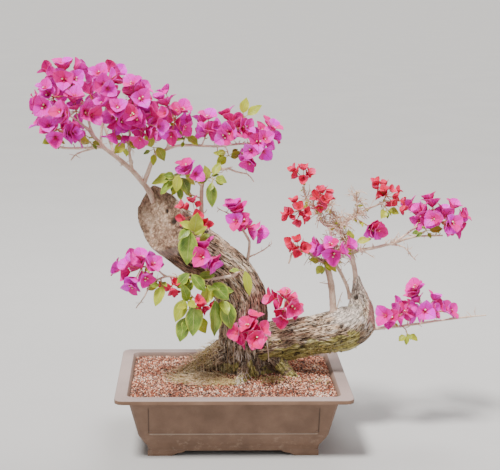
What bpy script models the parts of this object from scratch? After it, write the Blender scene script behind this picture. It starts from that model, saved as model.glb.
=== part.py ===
"""Bougainvillea bonsai in a shallow rectangular training pot.

Two trunks fork just above the soil. The left one leans up to a large old saw cut, the right one
runs low over the rim and ends in a chopped wedge. Thin branches carry sprays of three-bract blooms
and leafy shoots. Sizes are in millimetres, in a frame whose origin lies under the pot's centre:
X to the right, Y away from the front, Z up. At the end everything is moved so that the middle of
the whole model's underside is at the world's origin.
"""
import math
import random

import bmesh
import bpy
from mathutils import Matrix, Vector, noise
from mathutils.bvhtree import BVHTree

MM = 0.001
WELD = 0.0000005
FLAT = math.radians(0.4)
SHAKES = 12
SHAKE = 0.02
GAP = 0.35                    # clearance between pieces that touch or rest on each other

# Pot
POT_LENGTH = 400.0
POT_WIDTH = 295.0
CORNER_RADIUS = 14.0          # of the rim in plan; it shrinks a little down the wall
CORNER_SHRINK = 0.12
CORNER_STEPS = 3
RIM_TOP = 117.0
POT_UNDERSIDE = 9.0
POT_FLOOR = 13.0
# (inset from the rim's outer edge, height)
POT_OUTSIDE = [(0.9, RIM_TOP), (0.0, 116.0), (0.0, 110.0), (21.0, 109.6), (38.0, 40.5),
               (45.0, 28.0), (52.0, 18.0), (54.0, POT_UNDERSIDE)]
POT_INSIDE = [(58.5, POT_FLOOR), (56.5, 18.0), (42.6, 41.5), (25.5, 108.0), (20.0, RIM_TOP)]
FOOT_INSET = 53.5
FOOT_THICKNESS = 14.0
# one leg of a foot: (distance from the corner, height)
FOOT_PROFILE = [(0.0, 0.0), (41.0, 0.0), (50.0, 4.5), (55.0, 5.0), (63.0, 7.5), (63.0, 10.5),
                (0.0, 10.5)]
PANEL_END = 56.0              # panel's end, in from the rim's end
PANEL_LOW, PANEL_HIGH = 5.0, 60.0   # up the slanted wall from its lower edge
PANEL_NOTCH = 5.0
PANEL_DEPTH = 0.8
DRAIN_HOLE_DIAMETER = 32.0
DRAIN_HOLE_X = 85.0

# Mesh screens over the drain holes
SCREEN_SIZE = 46.0
SCREEN_HOLES = 2
SCREEN_BAR = 3.0
SCREEN_THICKNESS = 1.2

# Soil
SOIL_EDGE = 111.5
SOIL_MOUND = 12.0
MOUND_CENTRE = (30.0, 20.0)
MOUND_SPREAD = (110.0, 70.0)
SOIL_RINGS = 5
SOIL_RELIEF = 1.6

# Wood. A route is a list of (x, y, z) or (x, y, z, radius)
TRUNK = [(30, 26, 84, 52), (28, 25, 106, 56), (26, 24, 124, 52), (22, 20, 155, 46),
         (19, 16, 190, 43), (18, 13, 225, 42), (13, 11, 262, 43), (-12, 9, 298, 43),
         (-56, 6, 332, 43), (-98, 4, 366, 44), (-130, 2, 396, 46), (-172, 0, 436, 46)]
SAW_CUT_POINT = (-124, 0, 396)
SAW_CUT_NORMAL = (-0.64, -0.70, 0.31)
CALLUS_WIDTH = 6.0
CALLUS_DEPTH = 3.0
LIMB = [(20, 18, 156, 36), (55, 15, 167, 38), (93, 14, 175, 36), (138, 14, 184, 35),
        (176, 14, 190, 37), (206, 14, 200, 38), (226, 14, 222, 32), (223, 14, 248, 20),
        (220, 14, 270, 11), (217, 14, 292, 5)]
CHOP_POINT = (247, 0, 215)
CHOP_NORMAL = (0.93, -0.28, 0.24)
TRUNK_SIDES = 13
ROOT_SIDES = 7
RIBS = 5                      # lengthwise swellings round a trunk
RIB_DEPTH = 0.05
ROOTS = [
    [(6, 18, 165, 26), (-26, 14, 146, 22), (-55, 8, 130, 14), (-82, 0, 119, 9), (-106, -6, 108, 5)],
    [(26, -4, 150, 18), (20, -28, 126, 13), (9, -50, 110, 8), (-2, -68, 95, 4)],
    [(66, 6, 152, 24), (86, -4, 129, 16), (110, -16, 111, 8), (128, -26, 96, 4)],
    [(20, 50, 148, 20), (0, 76, 120, 12), (-22, 98, 98, 5)],
    [(50, 44, 148, 18), (79, 71, 117, 10), (102, 92, 96, 4)],
]

# name: (radius at the foot, radius at the tip, route)
BRANCHES = {
    "left": (5.2, 2.8, [(-136, 34, 414), (-149, 31, 441), (-171, 24, 470), (-199, 16, 497),
                        (-224, 8, 518), (-238, 4, 535), (-249, 2, 550)]),
    "left_low": (2.4, 1.5, [(-226, 8, 518), (-259, -4, 517), (-293, -12, 519), (-311, -18, 534),
                            (-314, -20, 548)]),
    "left_spur": (1.6, 1.1, [(-240, 4, 516), (-266, -6, 508), (-277, -8, 497)]),
    "left_tip": (2.2, 1.4, [(-249, 2, 549), (-264, -3, 562), (-278, -6, 572)]),
    "left_inner": (2.3, 1.4, [(-240, 4, 538), (-248, 7, 562), (-253, 8, 587), (-269, 9, 602),
                              (-288, 10, 615)]),
    "left_upright": (2.3, 1.4, [(-228, 7, 520), (-226, 10, 545), (-221, 16, 576), (-212, 22, 600),
                                (-210, 26, 616)]),
    "left_back": (2.4, 1.4, [(-205, 14, 502), (-216, 34, 530), (-232, 52, 562), (-246, 60, 590)]),
    "second": (2.7, 1.5, [(-176, 22, 476), (-179, 8, 508), (-178, -2, 540), (-176, -6, 566),
                          (-170, -4, 584)]),
    "second_back": (2.2, 1.4, [(-179, 6, 512), (-168, 26, 540), (-158, 40, 566)]),
    "third": (3.2, 1.5, [(-156, 29, 452), (-137, 22, 499), (-117, 16, 513), (-94, 14, 520),
                         (-68, 12, 521), (-29, 12, 519), (1, 14, 523), (36, 16, 524)]),
    "third_up": (2.2, 1.3, [(-117, 16, 513), (-106, 12, 534), (-100, 8, 552)]),
    "third_fork": (2.0, 1.3, [(-30, 12, 519), (-8, 10, 534), (6, 10, 546)]),
    "shoulder": (4.4, 2.1, [(-54, 8, 362), (-55, 4, 392), (-56, 2, 419), (-54, 0, 457),
                            (-41, -2, 477), (-9, -4, 484)]),
    "shoulder_bare": (1.8, 0.9, [(-10, -4, 484), (4, -6, 478), (22, -8, 475), (33, -8, 462)]),
    "crest": (3.0, 1.5, [(22, 8, 310), (26, 4, 330), (27, 0, 356), (17, -2, 374), (10, -4, 390)]),
    "crest_right": (1.6, 0.9, [(25, 5, 326), (46, 4, 336), (64, 4, 349)]),
    "crest_left": (1.3, 0.8, [(11, -4, 388), (-8, -4, 404), (-28, -6, 415)]),
    "front": (3.0, 1.5, [(4, -20, 306), (3, -42, 307), (-16, -50, 304), (-43, -56, 302),
                         (-84, -62, 305), (-116, -64, 308), (-142, -66, 296)]),
    "front_drop": (1.6, 0.9, [(-142, -66, 297), (-152, -67, 274), (-166, -66, 254)]),
    "front_high": (1.8, 1.3, [(-43, -56, 302), (-50, -58, 322), (-57, -58, 336)]),
    "front_end": (1.8, 1.3, [(-116, -64, 308), (-132, -62, 320), (-146, -60, 328)]),
    "front_low": (1.9, 1.3, [(-80, -62, 305), (-84, -66, 290), (-82, -68, 274)]),
    "limb_first": (6.2, 5.2, [(179, 14, 214), (177, 13, 240), (174, 12, 266), (169, 10, 294),
                              (163, 8, 316)]),
    "limb_second": (3.2, 2.6, [(207, 14, 250), (201, 12, 272), (191, 8, 294), (180, 6, 313)]),
    "limb_third": (4.6, 3.9, [(217, 14, 280), (214, 14, 302), (210, 14, 318), (204, 14, 334)]),
    "first_up": (3.4, 2.0, [(163, 8, 314), (162, 5, 336), (170, 2, 356), (166, 0, 380)]),
    "second_up": (2.6, 1.8, [(180, 6, 312), (184, 0, 334), (176, -6, 356)]),
    "third_up_right": (3.4, 2.4, [(204, 14, 333), (194, 14, 350), (188, 13, 368), (185, 12, 386)]),
    "long_right": (3.4, 1.5, [(204, 14, 334), (230, 10, 340), (274, 4, 351), (315, 0, 365),
                              (363, -4, 368)]),
    "long_right_back": (2.4, 1.4, [(276, 4, 351), (300, 22, 362), (326, 40, 376)]),
    "long_right_drop": (1.5, 0.8, [(278, 4, 351), (298, 0, 346), (310, -2, 332), (318, -4, 324)]),
    "upper_right": (3.0, 1.5, [(186, 13, 378), (203, 18, 393), (218, 20, 401), (240, 22, 412),
                               (266, 24, 424)]),
    "upper_right_bare": (1.4, 0.8, [(216, 20, 399), (215, 20, 420), (214, 20, 443)]),
    "upper_left": (2.6, 1.4, [(185, 12, 382), (157, 8, 385), (143, 4, 413), (126, 2, 428),
                              (118, 0, 452)]),
    "upper_back": (2.4, 1.4, [(185, 12, 384), (176, 34, 398), (162, 56, 414)]),
    "inner_left": (3.2, 1.5, [(163, 8, 314), (139, 4, 330), (118, 2, 340), (103, 0, 336),
                              (96, -4, 318)]),
    "right_low": (2.8, 1.1, [(246, 8, 196), (270, 7, 199), (296, 4, 202), (348, 0, 211),
                             (385, -4, 218), (420, -7, 223), (446, -8, 226)]),
    "thorn": (1.1, 0.6, [(173, 12, 277), (160, 9, 279), (152, 8, 281)]),
    "limb_wire": (1.0, 0.6, [(184, 14, 232), (188, 13, 248), (193, 12, 262)]),
    "crotch_root": (1.1, 0.7, [(58, -18, 184), (61, -30, 166), (62, -32, 148)]),
}
BRANCH_SIDES = [(2.9, 5), (1.7, 4), (0.0, 3)]    # (least radius at the foot, sides)
TWIG_RADIUS = (1.3, 0.9)
TWIG_STRAIGHT = 2.0
TWIG_SWEEP = 0.40             # how far towards its parent's foot a twig starts, against its reach
STALK_LENGTH = 26.0
SKELETON_STEP = 4.0
BARE_TWIGS = 40
BARE_TWIG_SEED = 19

# Blooms. Heads are the middles of the blooms
FULL, YOUNG = 1.0, 0.60
BRACT_LENGTH = 27.0
BRACT_HALF_WIDTH = 9.6
BRACT_THICKNESS = 0.75
CORE_RADIUS = 1.3
BLOOM_STALK_FACES = 8         # the first faces of a bloom: its core's ends and its stalk
LEAF_STALK_FACES = 10         # the last faces of a leaf
BLOOM_DEPTH = 9.0             # from the middle of a bloom back to where its bracts join
STALK_RADIUS = 0.8
KNOB_RADIUS = 2.0
BLOOM_SPRAYS = {
    "top_left": (FULL, [(-290, -4, 662), (-308, 16, 638), (-268, 22, 650), (-283, -32, 634)]),
    "left_edge": (FULL, [(-313, -16, 612), (-330, 10, 596), (-318, -42, 590), (-300, 34, 604)]),
    "left_low": (FULL, [(-332, -4, 562), (-314, 26, 562), (-308, -26, 556), (-284, -12, 545),
                        (-262, -30, 548), (-278, 24, 546)]),
    "left_front": (FULL, [(-268, -38, 606), (-246, -48, 584), (-282, -48, 578)]),
    "crown": (FULL, [(-228, 0, 645), (-206, 22, 634), (-240, 30, 632), (-218, -28, 628)]),
    "crown_front": (FULL, [(-220, -36, 598), (-196, -38, 586), (-206, -10, 608), (-208, -14, 538),
                           (-196, -10, 560)]),
    "crown_back": (FULL, [(-252, 78, 610), (-226, 66, 594), (-268, 66, 588)]),
    "crown_right": (FULL, [(-182, 5, 630), (-170, 26, 612), (-160, -16, 608)]),
    "second_head": (FULL, [(-152, 2, 596), (-136, -18, 580), (-166, -34, 570), (-144, -12, 548),
                           (-160, -28, 536)]),
    "second_rear": (FULL, [(-150, 58, 584), (-170, 56, 592), (-142, 44, 562)]),
    "right_of_crown": (FULL, [(-118, 8, 598), (-98, -6, 582), (-124, -12, 574), (-92, 2, 560),
                              (-76, 14, 566)]),
    "middle_left": (FULL, [(-45, 2, 552), (-50, 26, 544), (-34, -12, 562)]),
    "middle_top": (FULL, [(-6, 8, 570), (16, -10, 552), (-14, -22, 546), (8, 30, 560)]),
    "middle_right": (FULL, [(50, 4, 548), (42, 26, 536), (40, -16, 532), (60, 12, 528),
                            (24, -10, 500)]),
    "shoulder": (FULL, [(-82, -10, 482)]),
    "shoulder_young": (YOUNG, [(-72, -16, 432), (-88, -44, 404), (-52, -46, 398)]),
    "crest": (FULL, [(8, -8, 414), (14, -16, 396), (32, -6, 376)]),
    "front_left": (FULL, [(-184, -62, 316), (-170, -76, 302), (-156, -60, 342), (-140, -74, 334),
                          (-164, -40, 326)]),
    "front_middle": (FULL, [(-50, -66, 364), (-38, -70, 338)]),
    "front_young_left": (YOUNG, [(-104, -74, 286), (-112, -68, 292)]),
    "front_young_right": (YOUNG, [(-58, -82, 268), (-50, -76, 256)]),
    "base_front": (FULL, [(26, -66, 222), (14, -72, 206), (36, -78, 204), (32, -60, 236)]),
    "base_back": (FULL, [(78, -22, 256), (98, -6, 252), (86, -34, 240)]),
    "upper_left_top": (YOUNG, [(104, -2, 476), (118, 6, 484), (130, -2, 478)]),
    "upper_left_side": (YOUNG, [(100, -4, 410), (112, -12, 420), (90, 6, 400), (120, -8, 402)]),
    "upper_middle": (YOUNG, [(140, 0, 436), (156, -8, 432), (164, 8, 440), (154, 14, 420)]),
    "upper_rear": (YOUNG, [(158, 66, 434), (148, 76, 424), (166, 78, 420)]),
    "centre_right": (FULL, [(148, -18, 346), (170, -24, 338), (190, -20, 344)]),
    "inner_left": (YOUNG, [(110, -10, 360), (118, -16, 350), (100, -14, 350)]),
    "long_right_single": (FULL, [(239, -4, 380)]),
    "upper_right": (YOUNG, [(248, 18, 450), (262, 26, 452), (282, 26, 430), (290, 20, 424),
                            (254, 30, 434)]),
    "long_right_end": (FULL, [(326, -8, 412), (344, 10, 424), (338, -20, 396), (366, -2, 414),
                              (388, -10, 396), (392, 6, 380), (372, -22, 390)]),
    "long_right_rear": (FULL, [(330, 56, 400), (346, 44, 388)]),
    "right_low_near": (FULL, [(276, -6, 222), (294, 10, 230), (304, -10, 234)]),
    "right_low_end": (FULL, [(318, -2, 272), (336, -12, 234), (352, 12, 228), (374, -6, 236),
                             (326, 20, 224)]),
}

# Leafy shoots: the stem's route, then (leaf's foot, leaf's tip, width)
LEAF_THICKNESS = 0.8
LEAFY_STEM_RADIUS = 1.1
SMALL_LEAF = 17              # a leaf no wider than this has a plainer outline
LEAFY_STEMS = {
    "front_upper": ([(-58, -62, 346), (-66, -66, 367), (-73, -68, 397)],
                    [((-75, -72, 388), (-80, -76, 332), 33), ((-70, -70, 394), (-92, -70, 404), 14),
                     ((-68, -66, 382), (-48, -72, 396), 14), ((-62, -60, 362), (-46, -56, 350), 14)]),
    "front_middle": ([(-66, -68, 306), (-72, -74, 316)],
                     [((-77, -76, 316), (-98, -80, 294), 20),
                      ((-72, -80, 315), (-48, -84, 287), 21)]),
    "front_right": ([(-38, -62, 297), (-30, -68, 284), (-22, -70, 272)],
                    [((-36, -68, 297), (-10, -76, 272), 27), ((-33, -78, 270), (-30, -82, 208), 27),
                     ((-16, -74, 268), (-5, -78, 220), 28)]),
    "front_low": ([(-80, -72, 272), (-76, -78, 258), (-76, -76, 244)],
                  [((-84, -78, 272), (-100, -82, 234), 23), ((-68, -86, 266), (-69, -92, 210), 31),
                   ((-82, -76, 240), (-93, -76, 196), 26), ((-62, -76, 240), (-46, -72, 210), 22)]),
    "front_end": ([(-124, -68, 304), (-122, -72, 294)],
                  [((-120, -76, 294), (-134, -82, 262), 20),
                   ((-128, -66, 296), (-150, -56, 284), 14)]),
    "trunk_front": ([(12, -46, 314), (16, -50, 318)], [((18, -52, 315), (28, -54, 272), 16)]),
    "shoulder_left": ([(-90, -4, 446), (-98, -8, 460), (-96, -10, 474)],
                      [((-104, -12, 462), (-127, -14, 442), 21), ((-96, -18, 474), (-99, -24, 446), 17),
                       ((-106, -4, 470), (-142, 0, 458), 22), ((-90, -10, 468), (-76, -14, 440), 20),
                       ((-92, 4, 474), (-104, 24, 462), 20), ((-84, 4, 470), (-66, 14, 452), 17)]),
    "shoulder_bend": ([(-44, -6, 470), (-36, -14, 466)],
                      [((-46, -12, 468), (-50, -18, 490), 15),
                       ((-32, -18, 470), (-12, -20, 462), 16),
                       ((-40, -16, 460), (-37, -20, 418), 20),
                       ((-36, -12, 474), (-24, -2, 494), 15)]),
    "left_spur": ([(-242, -6, 524), (-248, -8, 532)],
                  [((-246, -12, 526), (-266, -14, 536), 18), ((-246, -4, 534), (-248, 20, 536), 16)]),
    "left_low_tip": ([(-300, -20, 530), (-304, -22, 540)],
                     [((-302, -26, 540), (-308, -32, 560), 14),
                      ((-306, -22, 536), (-324, -22, 528), 13)]),
    "second": ([(-180, -6, 522), (-184, -10, 530)],
               [((-178, -14, 530), (-158, -18, 520), 18), ((-186, -14, 526), (-204, -18, 510), 18),
                ((-190, -8, 532), (-212, -2, 540), 16)]),
    "third_first": ([(-136, 14, 508), (-138, 10, 518)],
                    [((-142, 8, 518), (-148, 6, 548), 19), ((-132, 6, 518), (-118, 0, 496), 18)]),
    "third_second": ([(-86, 14, 530), (-84, 12, 536)],
                     [((-88, 10, 537), (-92, 8, 556), 14), ((-80, 8, 536), (-62, 2, 524), 18),
                      ((-82, 18, 536), (-78, 40, 530), 17)]),
    "middle_top": ([(14, 12, 558), (16, 14, 570)],
                   [((14, 14, 577), (20, 16, 604), 17), ((22, 10, 574), (46, 8, 592), 16)]),
    "middle_low": ([(-12, 8, 512), (-10, 4, 504)],
                   [((-6, 2, 502), (14, -2, 512), 16), ((-14, 4, 502), (-32, 2, 490), 17)]),
    "inner_right": ([(152, 0, 320), (156, -4, 318)],
                    [((160, -6, 320), (180, -10, 306), 16), ((154, -6, 314), (144, -10, 300), 14)]),
    "third_knot": ([(208, 12, 344), (210, 10, 352)],
                   [((206, 8, 354), (200, 6, 376), 14), ((216, 8, 354), (240, 4, 362), 14)]),
    "long_right": ([(326, -4, 372), (334, -6, 378)],
                   [((332, -10, 380), (318, -14, 388), 15), ((340, -8, 378), (362, -12, 382), 16),
                    ((336, 0, 380), (352, 18, 378), 15)]),
    "right_low": ([(306, -4, 196), (308, -6, 190)],
                  [((312, -8, 190), (326, -10, 180), 13), ((304, -8, 188), (292, -10, 180), 13)]),
    "upper_right": ([(262, 20, 416), (268, 18, 410)],
                    [((272, 18, 410), (290, 16, 402), 14), ((266, 14, 408), (256, 8, 396), 13)]),
}
ATTEMPTS = 100
SIBLINGS_APART = 60
SHRINK_AFTER = 20             # attempts, after which a bloom or leaf is made smaller to fit
SHRINK = 0.82
KEEP_CLEAR = 0.45


def clear_scene():
    for item in list(bpy.data.objects):
        bpy.data.objects.remove(item, do_unlink=True)


def make_material(name, colour, roughness):
    material = bpy.data.materials.new(name)
    material.use_nodes = True
    shader = material.node_tree.nodes["Principled BSDF"]
    shader.inputs["Base Color"].default_value = (*colour, 1.0)
    shader.inputs["Roughness"].default_value = roughness
    shader.inputs["Metallic"].default_value = 0.0
    material.diffuse_color = (*colour, 1.0)
    return material


def make_object(name, shell, material=None):
    """An object from one closed shell (points in millimetres, faces), its faces turned outwards."""
    points, faces = shell
    mesh = bpy.data.meshes.new(name)
    mesh.from_pydata([Vector(p) * MM for p in points], [], faces)
    work = bmesh.new()
    work.from_mesh(mesh)
    bmesh.ops.recalc_face_normals(work, faces=work.faces)
    work.to_mesh(mesh)
    work.free()
    if material:
        mesh.materials.append(material)
    result = bpy.data.objects.new(name, mesh)
    bpy.context.scene.collection.objects.link(result)
    return result


def combine(body, tools, operation, solver):
    """Join tools to the body, or cut them from it, in one Boolean on their collection."""
    group = bpy.data.collections.new("tools")
    bpy.context.scene.collection.children.link(group)
    for tool in tools:
        bpy.context.scene.collection.objects.unlink(tool)
        group.objects.link(tool)
    change = body.modifiers.new("combine", "BOOLEAN")
    change.operation = operation
    change.operand_type = "COLLECTION"
    change.collection = group
    change.solver = solver
    graph = bpy.context.evaluated_depsgraph_get()
    graph.update()
    mesh = bpy.data.meshes.new_from_object(body.evaluated_get(graph))
    body.modifiers.clear()
    body.data = mesh
    for tool in tools:
        bpy.data.objects.remove(tool, do_unlink=True)
    bpy.data.collections.remove(group)


def keep_largest(body, triangles="BEAUTY"):
    """Drop the loose scraps that a Boolean leaves and the edges that it draws on flat faces."""
    work = bmesh.new()
    work.from_mesh(body.data)
    bmesh.ops.remove_doubles(work, verts=work.verts, dist=WELD)
    bmesh.ops.dissolve_limit(work, angle_limit=FLAT, verts=work.verts, edges=work.edges)
    midway = [v for v in work.verts if len(v.link_edges) == 2]
    bmesh.ops.dissolve_verts(work, verts=midway)
    bmesh.ops.triangulate(work, faces=work.faces, ngon_method=triangles)
    unseen = set(work.verts)
    islands = []
    while unseen:
        seed = unseen.pop()
        island, edge_of_search = {seed}, [seed]
        while edge_of_search:
            vertex = edge_of_search.pop()
            for edge in vertex.link_edges:
                other = edge.other_vert(vertex)
                if other not in island:
                    island.add(other)
                    edge_of_search.append(other)
        unseen -= island
        islands.append(island)
    islands.sort(key=len)
    for island in islands[:-1]:
        bmesh.ops.delete(work, geom=list(island), context="VERTS")
    work.to_mesh(body.data)
    work.free()


def pinched(body):
    """Whether the body touches itself along an edge or at a point."""
    work = bmesh.new()
    work.from_mesh(body.data)
    found = not all(v.is_manifold for v in work.verts)
    found = found or not all(len(e.link_faces) == 2 for e in work.edges)
    work.free()
    return found


def shaken(shell, name, attempt):
    """A shell moved by some hundredths of a millimetre, to part two surfaces that just meet."""
    draw = random.Random(f"{name} shaken {attempt}")
    move = Vector([draw.uniform(-SHAKE, SHAKE) * attempt for _ in range(3)])
    return [Vector(p) + move for p in shell[0]], shell[1]


def combine_cleanly(name, first, others, operation):
    """One Boolean of shells, made again for as long as it pinches.

    Every other time its faces are only split another way, and then its shells are shaken more.
    """
    for attempt in range(SHAKES):
        body = make_object(name, first)
        tools = [make_object(f"{name}_{i}", shaken(shell, f"{name} {i}", attempt // 2))
                 for i, shell in enumerate(others)]
        combine(body, tools, operation, "MANIFOLD")
        keep_largest(body, ("BEAUTY", "EAR_CLIP")[attempt % 2])
        if not pinched(body):
            break
        if attempt < SHAKES - 1:
            bpy.data.objects.remove(body, do_unlink=True)
    return body


def fuse(name, shells, material, sharp_angle=40):
    """One closed body from overlapping closed shells."""
    body = combine_cleanly(name, shells[0], shells[1:], "UNION")
    finish(body, material, sharp_angle)
    return body


def finish(body, material, sharp_angle):
    body.data.materials.clear()
    body.data.materials.append(material)
    body.data.shade_smooth()
    body.data.set_sharp_from_angle(angle=math.radians(sharp_angle))


# Plain shells


def rounded_rectangle(half_x, half_y, radius, z):
    points = []
    corners = [(1, 1, 0), (-1, 1, 90), (-1, -1, 180), (1, -1, 270)]
    for sign_x, sign_y, start in corners:
        for step in range(CORNER_STEPS + 1):
            angle = math.radians(start + 90 * step / CORNER_STEPS)
            points.append((sign_x * (half_x - radius) + radius * math.cos(angle),
                           sign_y * (half_y - radius) + radius * math.sin(angle), z))
    return points


def pot_ring(inset, z):
    radius = CORNER_RADIUS - CORNER_SHRINK * inset
    return rounded_rectangle(POT_LENGTH / 2 - inset, POT_WIDTH / 2 - inset, radius, z)


def loft(rings):
    """A closed shell through rings of equal counts, with a flat face at each end."""
    count = len(rings[0])
    points = [p for ring in rings for p in ring]
    faces = [tuple(range(count))]
    for level in range(len(rings) - 1):
        for i in range(count):
            j = (i + 1) % count
            low, high = level * count, (level + 1) * count
            faces.append((low + i, low + j, high + j, high + i))
    last = (len(rings) - 1) * count
    faces.append(tuple(range(last, last + count)))
    return points, faces


def prism(outline, matrix, low, high):
    """An outline in its own XY plane, extruded from low to high along Z, then placed."""
    rings = [[matrix @ Vector((x, y, z)) for x, y in outline] for z in (low, high)]
    return loft(rings)


def frames(route):
    """At each point of a route the two directions across it, turned as little as possible."""
    tangents = []
    for i in range(len(route)):
        before, after = route[max(i - 1, 0)], route[min(i + 1, len(route) - 1)]
        tangents.append((after - before).normalized())
    start = Vector((0, -1, 0)) if abs(tangents[0].y) < 0.9 else Vector((1, 0, 0))
    side = (start - tangents[0] * start.dot(tangents[0])).normalized()
    result = []
    for i, tangent in enumerate(tangents):
        if i:
            side = tangents[i - 1].rotation_difference(tangent) @ side
            side = (side - tangent * side.dot(tangent)).normalized()
        result.append((side, tangent.cross(side)))
    return result


def tube(route, radii, sides, rib_depth=0.0):
    """A closed tube round a route, its sides split the same way whatever its radii."""
    route = [Vector(p) for p in route]
    rings = []
    for centre, radius, (side, across) in zip(route, radii, frames(route)):
        ring = []
        for k in range(sides):
            angle = 2 * math.pi * k / sides
            reach = radius * (1 + rib_depth * math.cos(RIBS * angle))
            ring.append(centre + side * reach * math.cos(angle) + across * reach * math.sin(angle))
        rings.append(ring)
    points, faces = loft(rings)
    split = []
    for face in faces:
        split += [face[:3], (face[0], face[2], face[3])] if len(face) == 4 != sides else [face]
    return points, split


def curve_through(points, steps):
    """A smooth line through points of any number of coordinates (Catmull-Rom)."""
    points = [Vector(p) for p in points]
    ends = [points[0] * 2 - points[1]] + points + [points[-1] * 2 - points[-2]]
    line = []
    for i in range(1, len(ends) - 2):
        a, b, c, d = ends[i - 1:i + 3]
        for k in range(steps):
            t = k / steps
            line.append((b * 2 + (c - a) * t + (a * 2 - b * 5 + c * 4 - d) * t * t
                         + (b * 3 - a - c * 3 + d) * t * t * t) / 2)
    line.append(points[-1])
    return line


# Pot, screens and soil


def wall_panel(half_length, half_width):
    """The cutter for the shallow panel in the wall that faces -Y."""
    (top_inset, top), (low_inset, low) = POT_OUTSIDE[3], POT_OUTSIDE[4]
    slope = math.atan2(low_inset - top_inset, top - low)
    end, notch = half_length - PANEL_END, PANEL_NOTCH
    right = [(end - notch, PANEL_LOW), (end - notch, PANEL_LOW + notch), (end, PANEL_LOW + notch),
             (end, PANEL_HIGH - notch), (end - notch, PANEL_HIGH - notch), (end - notch, PANEL_HIGH)]
    outline = right + [(-x, y) for x, y in reversed(right)]
    stand = Matrix.Rotation(math.pi / 2 + slope, 4, "X")
    place = Matrix.Translation((0, low_inset - half_width, low))
    return prism(outline, place @ stand, -PANEL_DEPTH, 3.0)


def pot(material):
    body = make_object("pot", loft([pot_ring(*p) for p in POT_OUTSIDE + POT_INSIDE]), material)
    legs = []
    for turn in range(4):
        along_x = turn % 2 == 0
        half = (POT_LENGTH / 2, POT_WIDTH / 2) if along_x else (POT_WIDTH / 2, POT_LENGTH / 2)
        spin = Matrix.Rotation(turn * math.pi / 2, 4, "Z")
        for mirror in (1, -1):
            corner = Matrix.Translation((-mirror * (half[0] - FOOT_INSET), FOOT_INSET - half[1], 0))
            stand = Matrix.Rotation(math.pi / 2, 4, "X")
            outline = [(mirror * x, z) for x, z in FOOT_PROFILE]
            legs.append(make_object("leg", prism(outline, spin @ corner @ stand, -FOOT_THICKNESS, 0)))
    combine(body, legs, "UNION", "EXACT")
    cutters = []
    for turn in range(4):
        half = (POT_LENGTH / 2, POT_WIDTH / 2) if turn % 2 == 0 else (POT_WIDTH / 2, POT_LENGTH / 2)
        cutter = make_object("panel", wall_panel(*half))
        cutter.data.transform(Matrix.Rotation(turn * math.pi / 2, 4, "Z"))
        cutters.append(cutter)
    for x in (-DRAIN_HOLE_X, DRAIN_HOLE_X):
        route = [(x, 0, POT_UNDERSIDE - 2), (x, 0, POT_FLOOR + 2)]
        cutters.append(make_object("drain", tube(route, [DRAIN_HOLE_DIAMETER / 2] * 2, 20)))
    combine(body, cutters, "DIFFERENCE", "EXACT")
    keep_largest(body)
    finish(body, material, 25)
    return body


def screen(name, x, material):
    """A square of plastic mesh that lies over a drain hole."""
    pitch = (SCREEN_SIZE - SCREEN_BAR) / SCREEN_HOLES
    hole = pitch - SCREEN_BAR
    edge = SCREEN_SIZE / 2
    low = POT_FLOOR + GAP
    square = [(-1, -1), (1, -1), (1, 1), (-1, 1)]
    plate = [(sx * edge, sy * edge) for sx, sy in square]
    body = make_object(name, prism(plate, Matrix.Translation((x, 0, low)), 0, SCREEN_THICKNESS))
    cutters = []
    for i in range(SCREEN_HOLES):
        for j in range(SCREEN_HOLES):
            centre = Vector((x + (i - (SCREEN_HOLES - 1) / 2) * pitch,
                             (j - (SCREEN_HOLES - 1) / 2) * pitch, low))
            cell = [(sx * hole / 2, sy * hole / 2) for sx, sy in square]
            cutters.append(make_object("cell", prism(cell, Matrix.Translation(centre), -2, 4)))
    combine(body, cutters, "DIFFERENCE", "EXACT")
    keep_largest(body)
    finish(body, material, 30)
    return body


def soil_height(x, y):
    across = (x - MOUND_CENTRE[0]) / MOUND_SPREAD[0]
    along = (y - MOUND_CENTRE[1]) / MOUND_SPREAD[1]
    mound = SOIL_MOUND * math.exp(-across * across - along * along)
    return SOIL_EDGE + mound + SOIL_RELIEF * noise.noise(Vector((x, y, 0)) / 9.0)


def soil_outline(inset, z):
    """The pot's inside, with more points along its straight sides."""
    corners = pot_ring(inset, z)
    ring = []
    per_side = CORNER_STEPS + 1
    for i, point in enumerate(corners):
        ring.append(Vector(point))
        if i % per_side == per_side - 1:
            following = Vector(corners[(i + 1) % len(corners)])
            count = 5 if abs(following.x - point[0]) > abs(following.y - point[1]) else 3
            ring += [Vector(point).lerp(following, k / (count + 1)) for k in range(1, count + 1)]
    return ring


def soil(material, cutter_shells):
    rings = [soil_outline(inset + GAP * 1.5, z + GAP * (z == POT_FLOOR))
             for inset, z in POT_INSIDE[:4]]
    edge = soil_outline(25.0, SOIL_EDGE - 1.5)
    for k in range(SOIL_RINGS):
        part = 1 - k / SOIL_RINGS
        ring = []
        for point in edge:
            x, y = point.x * part, point.y * part
            ring.append(Vector((x, y, SOIL_EDGE - 1.5 if k == 0 else soil_height(x, y))))
        rings.append(ring)
    points, faces = loft(rings)
    last = faces.pop()
    points.append(Vector((0, 0, soil_height(0, 0))))
    centre = len(points) - 1
    faces += [(last[i], last[(i + 1) % len(last)], centre) for i in range(len(last))]
    cutters = list(cutter_shells)
    for x in (-DRAIN_HOLE_X, DRAIN_HOLE_X):
        reach = SCREEN_SIZE / 2 + GAP
        square = [(-reach, -reach), (reach, -reach), (reach, reach), (-reach, reach)]
        place = Matrix.Translation((x, 0, POT_FLOOR))
        cutters.append(prism(square, place, -1, GAP * 2 + SCREEN_THICKNESS))
    body = combine_cleanly("soil", (points, faces), cutters, "DIFFERENCE")
    finish(body, material, 30)
    return body


# Wood


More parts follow.
